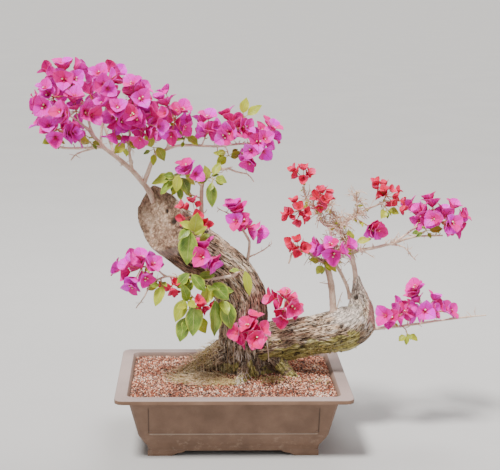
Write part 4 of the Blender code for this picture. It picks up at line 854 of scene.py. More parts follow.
def skeleton():
    """Points every few millimetres along the branches: (place, radius, route, distance)."""
    result = []
    for foot, tip, route in BRANCHES.values():
        line = [Vector(p) for p in route]
        spans = [(line[i + 1] - line[i]).length for i in range(len(line) - 1)]
        whole, walked = sum(spans), 0.0
        for i, span in enumerate(spans):
            for k in range(max(1, round(span / SKELETON_STEP))):
                t = k / max(1, round(span / SKELETON_STEP))
                distance = walked + span * t
                radius = foot + (tip - foot) * distance / whole
                result.append((line[i].lerp(line[i + 1], t), radius, id(route), distance))
            walked += span
        result.append((line[-1], tip, id(route), whole))
    return result


def twig_start(bones, target):
    """Where a twig that reaches the target leaves its branch, back along it from the nearest point."""
    nearest = min(bones, key=lambda bone: (bone[0] - target).length)
    back = nearest[3] - TWIG_SWEEP * (nearest[0] - target).length
    same = [bone for bone in bones if bone[2] == nearest[2]]
    return min(same, key=lambda bone: abs(bone[3] - back))


def solid_points(node):
    """A node's points in the script's millimetres, ready for searching."""
    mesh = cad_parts[node].data
    found = KDTree(len(mesh.vertices))
    for vertex in mesh.vertices:
        found.insert((vertex.co - ORIGIN) / MM, vertex.index)
    found.balance()
    return found


def is_in(found, points, reach=0.3):
    """Whether each of the points is one of a solid's own."""
    return all(found.find(p)[2] < reach for p in points)


def grown_twig(route, foot, tip, sides, draw, wander=0.0):
    """A round twig through a line, a little uneven, wider where it starts and blunt at its end."""
    spans = [(Vector(b) - Vector(a)).length for a, b in zip(route[:-1], route[1:])]
    steps = max(2, round(sum(spans) / len(spans) / 7))
    line = curve_through(route, steps)
    if wander:
        inner = [p + Vector([draw.uniform(-wander, wander) for _ in range(3)])
                 for p in line[1:-1]]
        line = [line[0]] + inner + [line[-1]]
    radii = []
    for i in range(len(line)):
        t = i / (len(line) - 1)
        uneven = draw.uniform(0.92, 1.10)
        radii.append((foot + (tip - foot) * t) * uneven * (1 + 0.35 * max(0.0, 1 - 6 * t)))
    line.append(line[-1] + (line[-1] - line[-2]).normalized() * tip * 0.6)
    radii.append(tip * 0.5)
    return tube(line, radii, sides)


bones = skeleton()
layout = {}
for name, (size, heads) in BLOOM_SPRAYS.items():
    heads = [Vector(h) for h in heads]
    middle = sum(heads, Vector()) / len(heads)
    bone = twig_start(bones, middle)
    away = (middle - bone[0]).normalized()
    stalk = min(STALK_LENGTH, 0.6 * (middle - bone[0]).length)
    layout[name] = (bone, middle - away * stalk, middle - away * (stalk * 0.45))
for name, (route, leaves) in LEAFY_STEMS.items():
    start = Vector(route[0])
    layout["leafy " + name] = (twig_start(bones, start), start, Vector(route[1]))

draw = random.Random(41)
twigs = Shells()


def add_twig(route, foot, tip, sides, wander=0.0, shade=0.5):
    """Add a twig with the tone of its bark, paler when young, and its grain along it."""
    points, faces = grown_twig(route, foot, tip, sides, draw, wander)
    turn = np.arange(len(points)) % sides / sides * 2 * math.pi
    along = np.arange(len(points)) // sides
    spin = draw.uniform(0, 60)
    twigs.add(points, faces, shade=shade,
              grain=np.stack([np.cos(turn) * foot + spin, np.sin(turn) * foot, along * 1.2], 1))


for foot, tip, route in BRANCHES.values():
    sides = 12 if foot > 4 else 9 if foot > 2 else 7
    add_twig(route, foot, tip, sides, 0.35, shade=min(1.0, foot / 6))
for bone, foot, hub in layout.values():
    thick = min(TWIG_RADIUS[0], bone[1] * 0.8)
    away = (hub - foot).normalized()
    line = [bone[0], foot - away * 2, foot + away * 0.4]
    if foot == layout["base_back"][1]:
        line = [BASE_BACK_START, Vector((83, 17, 235)), Vector((89, 6, 268)), foot]
    add_twig(line, thick, TWIG_RADIUS[1], 6, 0.25, 0.25)

wood_points = solid_points("tree")
inner = [bone for bone in bones if 105 < bone[0].x < 400 and 300 < bone[0].z < 450]
found_twigs = 0
bare = random.Random(BARE_TWIG_SEED)
for _ in range(4000):
    if found_twigs == BARE_TWIGS:
        break
    place = bare.choice(inner if bare.random() < 0.62 else bones)
    turn = bare.uniform(0, 2 * math.pi)
    rise = bare.uniform(-0.35, 0.9)
    level = math.sqrt(max(0.0, 1 - rise * rise))
    direction = Vector((level * math.cos(turn), level * math.sin(turn), rise))
    length = bare.uniform(8, 26)
    radius = min(0.9, place[1] * 0.7)
    end = place[0] + direction * length
    ring, _ = tube([place[0], end], [radius, radius * 0.6], 3)
    if is_in(wood_points, ring[3:]):
        found_twigs += 1
        add_twig([place[0], place[0].lerp(end, 0.5) + Vector((0, 0, 0.8)), end], radius,
                 radius * 0.6, 6, 0.3, 0.3)
        fork = place[0].lerp(end, draw.uniform(0.4, 0.7))
        add_twig([fork, fork + direction * 3 + Vector([draw.uniform(-4, 4) for _ in range(3)])],
                 0.5, 0.3, 5, 0.1, 0.2)

bloom_middles = [Vector(h) for _, heads in BLOOM_SPRAYS.values() for h in heads]
tangle = [bone for bone in bones if 108 < bone[0].x < 235 and 318 < bone[0].z < 440]
for number in range(TANGLE_TWIGS + SIDE_TWIGS):
    tangled = number < TANGLE_TWIGS
    bone = draw.choice(tangle if tangled else bones)
    if bone[0].z < 290 and bone[0].x < 250 and draw.random() < 0.7:
        continue
    direction = Vector([draw.gauss(0, 1) for _ in range(3)]).normalized()
    direction = (direction + Vector((0, -0.1, 0.25))).normalized()
    length = draw.uniform(8, 27) if tangled else draw.uniform(3, 14)
    end = bone[0] + direction * length
    if end.x < -325 or end.x > 430 or end.z > 640 or any(
            (end - middle).length < 9 for middle in bloom_middles):
        continue
    bend = Vector([draw.uniform(-0.16, 0.16) * length for _ in range(3)])
    middle = bone[0].lerp(end, 0.5) + bend
    radius = min(draw.uniform(0.6, 1.2), bone[1] * 0.75)
    add_twig([bone[0], middle, end], radius, radius * 0.55, 5, 0.15, draw.uniform(0.0, 0.35))
    for _ in range(draw.choice((0, 1, 1, 2) if tangled else (0, 0, 1))):
        fork = middle.lerp(end, draw.uniform(-0.4, 0.8))
        side = Vector([draw.gauss(0, 1) for _ in range(3)]).normalized()
        add_twig([fork, fork + (side + direction * 0.8) * draw.uniform(3, 8)], radius * 0.7,
                 0.35, 5, 0.1, draw.uniform(0.0, 0.2))

young_bark = Finish("young_bark", 0.7)
grain = young_bark.attribute("grain", "Vector")
shade = young_bark.attribute("shade")
where = young_bark.place()
streaks = young_bark.noise(grain, 1.4, 5, 0.7)
pith = young_bark.noise(where, 700, 3, 0.6)
blotch = young_bark.noise(where, 55, 3)
colour = young_bark.ramp(streaks * 0.6 + blotch * 0.4,
                         [(0.34, (0.260, 0.150, 0.100)), (0.44, (0.570, 0.380, 0.280)),
                          (0.52, (0.820, 0.620, 0.490)), (0.62, (0.960, 0.820, 0.700))])
colour = young_bark.blend(shade * 0.30, colour, (0.360, 0.240, 0.180))
colour = young_bark.blend(young_bark.step(pith, 0.56, 0.72) * 0.5, colour, (0.240, 0.140, 0.095))
young_bark.set("Base Color", colour)
young_bark.set("Roughness", 0.55 + pith * 0.3)
young_bark.bump(streaks * 0.6 + pith * 0.4, 0.0005, 0.8)
add_to_plant(twigs.piece("branches_and_twigs"), young_bark, "bark", "tree", smooth=60)


# Blooms. Each is three papery bracts, thin and veined, round three small tubular flowers.
# They grow on fine stalks from the end of a twig. Full ones are magenta, young ones coral red.

BRACT_LENGTH, BRACT_HALF_WIDTH, BRACT_THICKNESS = 27.0, 9.6, 0.34
BRACT_FULLNESS = 1.20           # how much wider than the plain solids the waved bracts are
EXTRA_BLOOMS, EXTRA_TRIES = 1.8, 80     # per grown bloom, and tries to find each one room
CORE_RADIUS = 1.3
BLOOM_DEPTH = 9.0
SHRINK_AFTER, SHRINK = 20, 0.82
ATTEMPTS = 100
BRACT_ALONG, BRACT_ACROSS = 8, 6
# a bract's half width along it, as (share of length, share of half width)
BRACT_WIDTHS = [(0.0, 0.10), (0.10, 0.46), (0.22, 0.80), (0.36, 1.00), (0.50, 1.05), (0.64, 0.95),
                (0.77, 0.73), (0.88, 0.45), (0.95, 0.20), (1.0, 0.02)]
HOT_SPRAYS = ("base_front", "base_back")


def sheet(along, across):
    """A closed thin plate of unit size: (shares along, from -1 to 1 across, which side), faces."""
    bpy.ops.mesh.primitive_grid_add(x_subdivisions=along, y_subdivisions=across, size=2)
    grid = bpy.context.object
    apply_modifier(grid, "SOLIDIFY", thickness=1.0, offset=0.0)
    points, faces = template(grid)
    return (points[:, 0] + 1) / 2, points[:, 1], points[:, 2] * 2, faces


def tilted(direction, draw, degrees):
    """A direction turned by a random angle up to the given one."""
    turn = Matrix.Rotation(draw.uniform(0, 2 * math.pi), 3, direction)
    lean = Matrix.Rotation(math.radians(draw.uniform(0, degrees)), 3,
                           turn @ direction.orthogonal().normalized())
    return lean @ direction


class Bloom:
    """One bloom as the solids were grown: the same rule and the same random draws."""

    def __init__(self, key, attempt, head, hub, size):
        draw = random.Random(f"{key} {attempt}")
        reach = 1.2 + 0.12 * attempt
        moved = Vector(head) + Vector([draw.uniform(-reach, reach) for _ in range(3)])
        size *= draw.uniform(0.94, 1.06) * SHRINK ** (attempt // SHRINK_AFTER)
        outward = (moved - hub).normalized() + Vector((0, -0.15, 0.25))
        self.axis = tilted(outward.normalized(), draw, 16 + attempt * 0.3).normalized()
        self.core = moved - self.axis * BLOOM_DEPTH * size
        self.size, self.young, self.hub = size, size < 0.75, hub
        self.start = math.radians(draw.uniform(24, 34))
        self.end = math.radians(draw.uniform(40, 62) if self.young else draw.uniform(62, 84))
        first = self.axis.orthogonal().normalized()
        twist = draw.uniform(0, 2 * math.pi)
        self.outs = [Matrix.Rotation(twist + math.radians(120 * k), 3, self.axis) @ first
                     for k in range(3)]
        self.edges = [[draw.uniform(-0.6, 0.9) * size for _ in range(2 if self.young else 4)]
                      for _ in range(3)]

    def station(self, out, s):
        """Places and inner normals along a bract's midrib at an array of shares."""
        s = np.asarray(s, float)[:, None]
        low, high = self.start, self.end
        angle = low + (high - low) * s
        radial = math.sin(low) * s + (math.sin(high) - math.sin(low)) * s * s / 2
        height = math.cos(low) * s + (math.cos(high) - math.cos(low)) * s * s / 2
        length = BRACT_LENGTH * self.size
        out, axis = np.array(out), np.array(self.axis)
        place = np.array(self.core) + out * (CORE_RADIUS / 2 + length * radial)
        return place + axis * length * height, axis * np.sin(angle) - out * np.cos(angle)

    def tips(self):
        return [Vector(self.station(out, [1.0])[0][0]) for out in self.outs]

    def bract(self, number, draw):
        """The points of one bract: the plate bent, cupped, creased and waved at its edges."""
        out, edges = self.outs[number], self.edges[number]
        side = np.array(self.axis.cross(out))
        place, normal = self.station(out, bract_s)
        width = (BRACT_HALF_WIDTH * BRACT_FULLNESS * self.size
                 * np.interp(bract_s, *zip(*BRACT_WIDTHS)))
        far = np.abs(bract_v)
        if self.young:
            right = np.interp(bract_s, [0, 0.5, 1], [0, edges[0], 0])
            left = np.interp(bract_s, [0, 0.5, 1], [0, edges[1], 0])
        else:
            right = np.interp(bract_s, [0, 0.34, 0.70, 1], [0, edges[0], edges[1], 0])
            left = np.interp(bract_s, [0, 0.34, 0.70, 1], [0, edges[3], edges[2], 0])
        lift = 0.22 * width * far ** 1.6 + np.where(bract_v > 0, right, left) * far ** 2
        phase, pleats = draw.uniform(0, 6.3), draw.uniform(1.6, 2.6)
        lift += (0.9 * self.size * far ** 2 * np.sin(bract_s * pleats * 6.3 + phase
                 + np.sign(bract_v) * 1.3) * np.sin(bract_s * math.pi))
        lift -= 0.45 * self.size * np.exp(-(far / 0.16) ** 2) * np.sin(bract_s * math.pi)
        lift += 0.5 * self.size * np.exp(-((far - 0.45) / 0.2) ** 2) * np.sin(bract_s * math.pi)
        bent = draw.uniform(-2.6, 2.2) * self.size * np.clip(bract_s - 0.75, 0, 1) ** 2 * 16
        place = place + side * (width * bract_v)[:, None]
        return place + normal * (lift + bent * 0.6 + bract_side * BRACT_THICKNESS / 2)[:, None]


def star(centre, axis, radius, depth):
    """A small five-lobed flower seen as a shallow cup with a waved rim."""
    first = axis.orthogonal().normalized()
    second = axis.cross(first)
    points = [centre - axis * depth, centre + axis * depth * 0.1]
    for level, sink in ((0, -0.5), (1, 0.25)):
        for k in range(10):
            angle = k * math.pi / 5
            reach = radius * (1.0 if k % 2 == 0 else 0.62) * (1 - 0.06 * level)
            points.append(centre + first * reach * math.cos(angle)
                          + second * reach * math.sin(angle) + axis * depth * sink)
    faces = []
    for k in range(10):
        a, b = 2 + k, 2 + (k + 1) % 10
        faces += [(0, b, a), (a, b, b + 10, a + 10), (1, a + 10, b + 10)]
    return points, faces


bract_s, bract_v, bract_side, bract_faces = sheet(BRACT_ALONG, BRACT_ACROSS)


def add_bloom(shells, bloom, bracts, name, draw):
    """Add a bloom's bracts, its three small flowers and its stalk back to the hub."""
    young = BLOOM_SPRAYS[name][0] == YOUNG
    warmth = 1.0 if young else 0.55 if name in HOT_SPRAYS else draw.uniform(0.0, 0.28)
    for k in range(3):
        tone = draw.random()
        shells.add(bracts[k], bract_faces, part=0.0, warmth=warmth, tone=tone,
                   blade=np.stack([bract_s, bract_v, np.full(len(bract_s), tone * 9)], 1))
        out = (bloom.outs[k] * 0.42 + bloom.axis).normalized()
        end = bloom.core + out * draw.uniform(7.5, 10.5) * bloom.size
        points, faces = tube([bloom.core, bloom.core.lerp(end, 0.6), end],
                             [0.7 * bloom.size, 0.8 * bloom.size, 1.05 * bloom.size], 6)
        shells.add(points, faces, part=0.5, warmth=warmth, tone=tone, blade=(0.4, 0.4, 0))
        if draw.random() < 0.34 and not bloom.young:
            points, faces = star(end, out, draw.uniform(1.6, 2.3) * bloom.size, 0.8)
            shells.add(points, faces, part=1.0, warmth=warmth, tone=tone, blade=(0.4, 0.4, 0))
    sag = bloom.core.lerp(bloom.hub, 0.5) + Vector((0, 0, -0.7))
    points, faces = grown_twig([bloom.hub, sag, bloom.core], 0.62, 0.85 * bloom.size, 6, draw)
    shells.add(points, faces, part=0.25, warmth=warmth, tone=0.5, blade=(0.4, 0.4, 0))


def blades_tree(bracts):
    """A search tree of a bloom's three bracts."""
    points = np.concatenate(bracts).tolist()
    count = len(points) // 3
    return BVHTree.FromPolygons(points, [tuple(i + k * count for i in face)
                                         for k in range(3) for face in bract_faces])


spray_shells, crowd = {}, []
skin_tree = BVHTree.FromPolygons([(v.co - ORIGIN) / MM for v in trunks.data.vertices],
                                 [tuple(p.vertices) for p in trunks.data.polygons])
for name, (size, heads) in BLOOM_SPRAYS.items():
    bone, foot, hub = layout[name]
    own_points = solid_points("bloom_spray_" + name)
    shells = spray_shells[name] = Shells()
    draw = random.Random("looks of " + name)
    for number, head in enumerate(heads):
        for attempt in range(ATTEMPTS):
            bloom = Bloom(f"{name} {number}", attempt, head, hub, size)
            if is_in(own_points, bloom.tips()):
                break
        else:
            print("bloom not found", name, number)
            continue
        bracts = [bloom.bract(k, draw) for k in range(3)]
        add_bloom(shells, bloom, bracts, name, draw)
        crowd.append((bloom.core, blades_tree(bracts)))
    points, faces = grown_twig([foot, foot.lerp(hub, 0.5), hub], 0.9, 1.1, 7, draw)
    shells.add(points, faces, part=0.25, warmth=0.3, tone=0.5, blade=(0.4, 0.4, 0))

# younger blooms of the same sprays, wherever the grown ones leave them room
extra_count = 0
for name, (size, heads) in BLOOM_SPRAYS.items():
    hub = layout[name][2]
    draw = random.Random("extra of " + name)
    for number in range(round(EXTRA_BLOOMS * len(heads))):
        for attempt in range(EXTRA_TRIES):
            first, second = Vector(draw.choice(heads)), Vector(draw.choice(heads))
            reach = 9 + 0.15 * attempt
            head = first.lerp(second, draw.random()) + Vector(
                [draw.uniform(-reach, reach) for _ in range(3)])
            bloom = Bloom(f"extra {name} {number}", attempt % SHRINK_AFTER, head, hub,
                          size * draw.uniform(0.80, 1.0))
            bracts = [bloom.bract(k, draw) for k in range(3)]
            low, high = np.concatenate(bracts).min(0), np.concatenate(bracts).max(0)
            if (low < BOX_LOW).any() or (high > BOX_HIGH).any():
                continue
            blades = blades_tree(bracts)
            if blades.overlap(skin_tree) or any(
                    (core - bloom.core).length < 62 and blades.overlap(tree)
                    for core, tree in crowd):
                continue
            add_bloom(spray_shells[name], bloom, bracts, name, draw)
            crowd.append((bloom.core, blades))
            extra_count += 1
            break
print("extra blooms", extra_count)

bract_finish = Finish("bract", 0.55)
blade = bract_finish.attribute("blade", "Vector")
part, warmth = bract_finish.attribute("part"), bract_finish.attribute("warmth")
tone = bract_finish.attribute("tone")
where = bract_finish.place()
s, v, _ = bract_finish.parts(blade)
across = bract_finish.sum("ABSOLUTE", v)
mottle = bract_finish.noise(where, 85, 4, 0.6)
tissue = bract_finish.noise(where, 800, 3, 0.6)
rib = bract_finish.step(0.10 - across, 0.0, 0.08)
wobble = bract_finish.noise(where, 160, 2)
lane = bract_finish.sum("FRACT", s * 6.5 - across * 2.6 + (wobble - 0.5) * 0.9)
side_vein = bract_finish.step(bract_finish.sum("ABSOLUTE", lane - 0.5), 0.13, 0.02)
net = bract_finish.step(bract_finish.cells(where, 420, "DISTANCE_TO_EDGE"), 0.09, 0.0)
vein = rib + side_vein * 0.75 + net * 0.3
magenta = bract_finish.ramp(tone * 0.6 + mottle * 0.4,
                            [(0.20, (0.860, 0.000, 0.260)), (0.45, (0.960, 0.000, 0.560)),
                             (0.75, (0.960, 0.000, 0.920))])
hot = bract_finish.ramp(mottle, [(0.35, (0.880, 0.000, 0.130)), (0.60, (0.970, 0.002, 0.340))])
coral = bract_finish.ramp(mottle, [(0.30, (0.780, 0.004, 0.040)), (0.60, (0.960, 0.020, 0.130))])
colour = bract_finish.blend(bract_finish.step(warmth, 0.1, 0.55), magenta, hot)
colour = bract_finish.blend(bract_finish.step(warmth, 0.6, 0.95), colour, coral)
heart = bract_finish.step(s, 0.50, 0.05)
colour = bract_finish.blend(heart * 0.50, colour, (0.860, 0.002, 0.090))
edge = bract_finish.step(across + (mottle - 0.5) * 0.5, 0.84, 1.04)
fade = bract_finish.step(mottle + tone * 0.25 + (s - 0.5) * 0.12, 0.68, 0.88)
pale_edge = bract_finish.step(warmth, 0.35, 0.5) * bract_finish.step(warmth, 0.8, 0.65)
colour = bract_finish.blend(edge * (pale_edge * 0.34 + 0.26) + fade * 0.26, colour,
                            (1.000, 0.420, 0.850))
colour = bract_finish.blend(vein * 0.30, colour, (0.460, 0.000, 0.080))
stalk_colour = bract_finish.blend(mottle, (0.420, 0.300, 0.070), (0.560, 0.110, 0.120))
colour = bract_finish.blend(bract_finish.step(part, 0.10, 0.20), colour, stalk_colour)
colour = bract_finish.blend(bract_finish.step(part, 0.35, 0.45), colour, (0.700, 0.120, 0.170))
colour = bract_finish.blend(bract_finish.step(part, 0.80, 0.95), colour, (0.900, 0.800, 0.480))
bract_finish.set("Base Color", colour)
bract_finish.set("Specular IOR Level", 0.3)
bract_finish.set("Roughness", 0.42 + tissue * 0.3)
bract_finish.bump(tissue * 0.35 - vein * 0.8 + mottle * 0.4, 0.0005, 0.9)
for name, (size, heads) in BLOOM_SPRAYS.items():
    spray = spray_shells[name].piece("spray_" + name)
    slot = "young_bract" if size == YOUNG else "bract"
    add_to_plant(spray, bract_finish, slot, "bloom_spray_" + name)
    alone(spray)
    bpy.ops.object.shade_smooth_by_angle(angle=math.radians(50))


# Leaves. Soft green blades, glossy above, folded along a pale midrib and waved at the edge.
# Each stands on a short stalk from its stem; tiny young ones sit among the blooms.

LEAF_THICKNESS = 0.42
LEAF_WIDTHS = [(0.0, 0.10), (0.06, 0.36), (0.16, 0.74), (0.30, 0.95), (0.44, 1.0), (0.58, 0.93),
               (0.72, 0.72), (0.85, 0.42), (0.94, 0.16), (1.0, 0.01)]
YOUNG_LEAF_LENGTHS = (7.0, 13.0)
# extra leaves of a stem as (how many, length of the longest)
EXTRA_LEAVES = {"front_upper": (7, 40), "front_middle": (5, 34), "front_right": (5, 40),
                "front_low": (5, 38), "front_end": (3, 26), "shoulder_left": (6, 26),
                "shoulder_bend": (5, 26), "second": (3, 22), "third_first": (3, 24),
                "third_second": (3, 22), "middle_top": (3, 24), "middle_low": (3, 22),
                "inner_right": (3, 22), "third_knot": (3, 20), "long_right": (3, 20),
                "left_spur": (3, 20), "left_low_tip": (2, 18), "right_low": (2, 18),
                "upper_right": (3, 18), "trunk_front": (1, 24)}
TANGLE_LEAVES = 60              # young leaves among the bare twigs of the right crown


class Leaf:
    """One leaf as the solids were grown: the same rule and the same random draws."""

    def __init__(self, key, attempt, foot, tip, width):
        draw = random.Random(f"{key} {attempt}")
        size = SHRINK ** (attempt // SHRINK_AFTER)
        reach = 0.8 + 0.10 * attempt
        self.foot = Vector(foot)
        self.line = ((Vector(tip) - self.foot) * size
                     + Vector([draw.uniform(-reach, reach) for _ in range(3)]))
        self.width = width * size
        facing = tilted(Vector((0.1, -0.75, 0.65)).normalized(), draw, 22 + attempt * 0.6)
        along = self.line.normalized()
        self.facing = (facing - along * facing.dot(along)).normalized()
        self.side = along.cross(self.facing)

    def tip(self):
        return self.foot + self.line - self.facing * 0.10 * self.line.length

    def points(self, draw):
        s, v = leaf_s, leaf_v
        share = np.interp(s, *zip(*LEAF_WIDTHS))
        far = np.abs(v) * share
        phase, waves = draw.uniform(0, 6.3), draw.uniform(1.4, 2.3)
        lift = -0.10 * self.line.length * s * s + 0.13 * self.width * far ** 1.2
        lift += (0.075 * self.width * np.abs(v) ** 2 * np.sin(s * waves * 6.3 + phase
                 + np.sign(v) * 1.1) * np.sin(np.clip(s, 0, 1) * math.pi))
        lift += draw.uniform(-0.10, 0.10) * self.line.length * (s - 0.55) * np.clip(s - 0.2, 0, 1)
        lift += leaf_side * LEAF_THICKNESS / 2
        place = np.array(self.foot) + np.outer(s, self.line)
        place += np.outer(v * share * self.width / 2, self.side)
        return place + np.outer(lift, self.facing)


def closest_on(route, point, number):
    """The point of a stem from which a leaf's stalk leaves, each a little further along."""
    best = None
    for a, b in zip(route[:-1], route[1:]):
        t = max(0.15, min(0.90, (point - a).dot(b - a) / (b - a).length_squared))
        place = a.lerp(b, t)
        if best is None or (place - point).length < (best - point).length:
            best = place
            ahead = (b - a).normalized()
    return best + ahead * 0.55 * (number - 1.5)


leaf_s, leaf_v, leaf_side, leaf_faces = sheet(9, 6)


def add_leaf(shells, leaf, draw, age):
    """Add a leaf's blade with where each point lies on it and how old the leaf is."""
    shells.add(leaf.points(draw), leaf_faces, part=0.0, age=age,
               blade=np.stack([leaf_s, leaf_v, np.full(len(leaf_s), draw.uniform(0, 9))], 1))


leaf_shells = {}
for name, (route, leaves) in LEAFY_STEMS.items():
    line = [Vector(p) for p in route]
    own_points = solid_points("leafy_stem_" + name)
    shells = leaf_shells[name] = Shells()
    draw = random.Random("looks of leaves " + name)
    points, faces = grown_twig(line, 1.1, 0.8, 7, draw)
    shells.add(points, faces, part=1.0, age=0.5, blade=(0.5, 0.5, 0))
    for number, (foot, tip, width) in enumerate(leaves):
        stem_point = closest_on(line, Vector(foot), number)
        for attempt in range(ATTEMPTS):
            leaf = Leaf(f"{name} leaf {number}", attempt, foot, tip, width)
            if is_in(own_points, [leaf.tip()]):
                break
        else:
            print("leaf not found", name, number)
            continue
        add_leaf(shells, leaf, draw, draw.uniform(0.25, 1.0) if width > 19 else draw.uniform(0, 0.5))
        points, faces = grown_twig([stem_point, stem_point.lerp(leaf.foot, 0.5),
                                    leaf.foot + leaf.line * 0.04], 0.62, 0.55, 6, draw)
        shells.add(points, faces, part=0.6, age=0.3, blade=(0.5, 0.5, 0))

# more leaves on the same stems, wherever they find room
leaf_crowd = [tree for _, tree in crowd] + [skin_tree]
for shells in leaf_shells.values():
    leaf_crowd.append(BVHTree.FromPolygons(np.concatenate(shells.points).tolist(), shells.faces))
for name, (count, longest) in EXTRA_LEAVES.items():
    route = [Vector(p) for p in LEAFY_STEMS[name][0]]
    draw = random.Random("more leaves " + name)
    for number in range(count):
        for attempt in range(60):
            a = draw.randrange(len(route) - 1)
            start = route[a].lerp(route[a + 1], draw.random())
            droop = Vector((draw.gauss(0, 0.7), draw.gauss(-0.25, 0.35), draw.gauss(-0.5, 0.5)))
            direction = droop.normalized()
            length = longest * draw.uniform(0.5, 1.0)
            foot = start + direction * draw.uniform(4, 9)
            leaf = Leaf(f"more {name} {number}", attempt % SHRINK_AFTER, foot,
                        foot + direction * length, length * draw.uniform(0.52, 0.68))
            tree = BVHTree.FromPolygons(leaf.points(random.Random(number)).tolist(), leaf_faces)
            if any(tree.overlap(other) for other in leaf_crowd):
                continue
            shells = leaf_shells[name]
            shells.add(leaf.points(random.Random(number)), leaf_faces, part=0.0,
                       age=draw.uniform(0.15, 1.0),
                       blade=np.stack([leaf_s, leaf_v, np.full(len(leaf_s), number)], 1))
            points, faces = grown_twig([start, start.lerp(foot, 0.5), foot + leaf.line * 0.04],
                                       0.62, 0.55, 6, draw)
            shells.add(points, faces, part=0.6, age=0.3, blade=(0.5, 0.5, 0))
            leaf_crowd.append(tree)
            break

draw = random.Random(77)
young_leaves = Shells()
places = [foot.lerp(hub, draw.uniform(-0.6, 0.4)) for name, (bone, foot, hub) in layout.items()
          if not name.startswith("leafy") and name not in HOT_SPRAYS
          for _ in range(draw.choice((1, 2, 2, 3)))]
places += [draw.choice(tangle)[0] for _ in range(TANGLE_LEAVES)]
for number, start in enumerate(places):
    direction = Vector([draw.gauss(0, 1) for _ in range(3)]).normalized()
    direction = (direction + Vector((0, -0.5, -0.1))).normalized()
    leaf = Leaf(str(number), 0, start,
                start + direction * draw.uniform(*YOUNG_LEAF_LENGTHS), draw.uniform(3.5, 6))
    leaf.line = direction * leaf.line.length
    leaf.facing = leaf.line.orthogonal().normalized()
    leaf.facing = Matrix.Rotation(draw.uniform(0, 6.3), 3, direction) @ leaf.facing
    leaf.side = direction.cross(leaf.facing)
    add_leaf(young_leaves, leaf, draw, draw.uniform(0.0, 0.2))

leaf_finish = Finish("leaf", 0.4)
blade = leaf_finish.attribute("blade", "Vector")
part, age = leaf_finish.attribute("part"), leaf_finish.attribute("age")
where = leaf_finish.place()
s, v, _ = leaf_finish.parts(blade)
across = leaf_finish.sum("ABSOLUTE", v)
mottle = leaf_finish.noise(where, 60, 4, 0.6)
tissue = leaf_finish.noise(where, 900, 3, 0.6)
rib = leaf_finish.step(0.085 - across, 0.0, 0.06)
lane = leaf_finish.sum("FRACT", s * 6.0 - across * 2.2 + (mottle - 0.5) * 0.5)
side_vein = leaf_finish.step(leaf_finish.sum("ABSOLUTE", lane - 0.5), 0.11, 0.01)
net = leaf_finish.step(leaf_finish.cells(where, 380, "DISTANCE_TO_EDGE"), 0.08, 0.0)
young_green = leaf_finish.blend(mottle, (0.320, 0.400, 0.012), (0.620, 0.640, 0.040))
old_green = leaf_finish.ramp(mottle, [(0.34, (0.075, 0.160, 0.012)), (0.50, (0.160, 0.280, 0.022)),
                                      (0.66, (0.310, 0.430, 0.045))])
colour = leaf_finish.blend(leaf_finish.step(age, 0.15, 0.75), young_green, old_green)
colour = leaf_finish.blend(leaf_finish.step(across, 0.70, 1.0) * 0.60, colour, (0.620, 0.680, 0.060))
colour = leaf_finish.blend(rib * 0.45 + side_vein * 0.20 + net * 0.08, colour, (0.620, 0.700, 0.200))
colour = leaf_finish.blend(leaf_finish.step(part, 0.4, 0.6), colour, (0.480, 0.420, 0.120))
colour = leaf_finish.blend(leaf_finish.step(part, 0.8, 0.95) * 0.7, colour, (0.500, 0.340, 0.230))
leaf_finish.set("Base Color", colour)
leaf_finish.set("Roughness", 0.26 + tissue * 0.28)
leaf_finish.bump(tissue * 0.3 - rib * 0.9 - side_vein * 0.7 + mottle * 0.5, 0.0006, 0.9)
for name, shells in leaf_shells.items():
    stem = shells.piece("leaves_" + name)
    add_to_plant(stem, leaf_finish, "leaf", "leafy_stem_" + name, smooth=50)
add_to_plant(young_leaves.piece("young_leaves"), leaf_finish, "leaf", smooth=50)


# Moss, dry fibres and rootlets. Cushions of short moss and dead strands lie over the left root,
# and pale rootlets hang at the front of the base. They only rest on the wood and the gravel.

MOSS_SHOOTS, DRY_FIBRES, ROOTLETS = 2600, 700, 46
# moss cushions as (place, reach, share of the shoots)
CUSHIONS = [((-52, -12, 140), 34, 0.34), ((-84, -22, 122), 26, 0.22), ((-30, -44, 118), 24, 0.14),
            ((140, 0, 160), 60, 0.10), ((64, -30, 140), 30, 0.12), ((-6, -46, 150), 16, 0.08)]


def surface_at(x, y):
    """The upper of the wood and the soil at a place, as (point, normal), up to the limb's level."""
    best = None
    for tree in (soil_tree, skin_tree):
        place, normal, _, _ = tree.ray_cast(Vector((x, y, 200)), Vector((0, 0, -1)))
        if place is not None and (best is None or place.z > best[0].z):
            best = (place, normal)
    return best


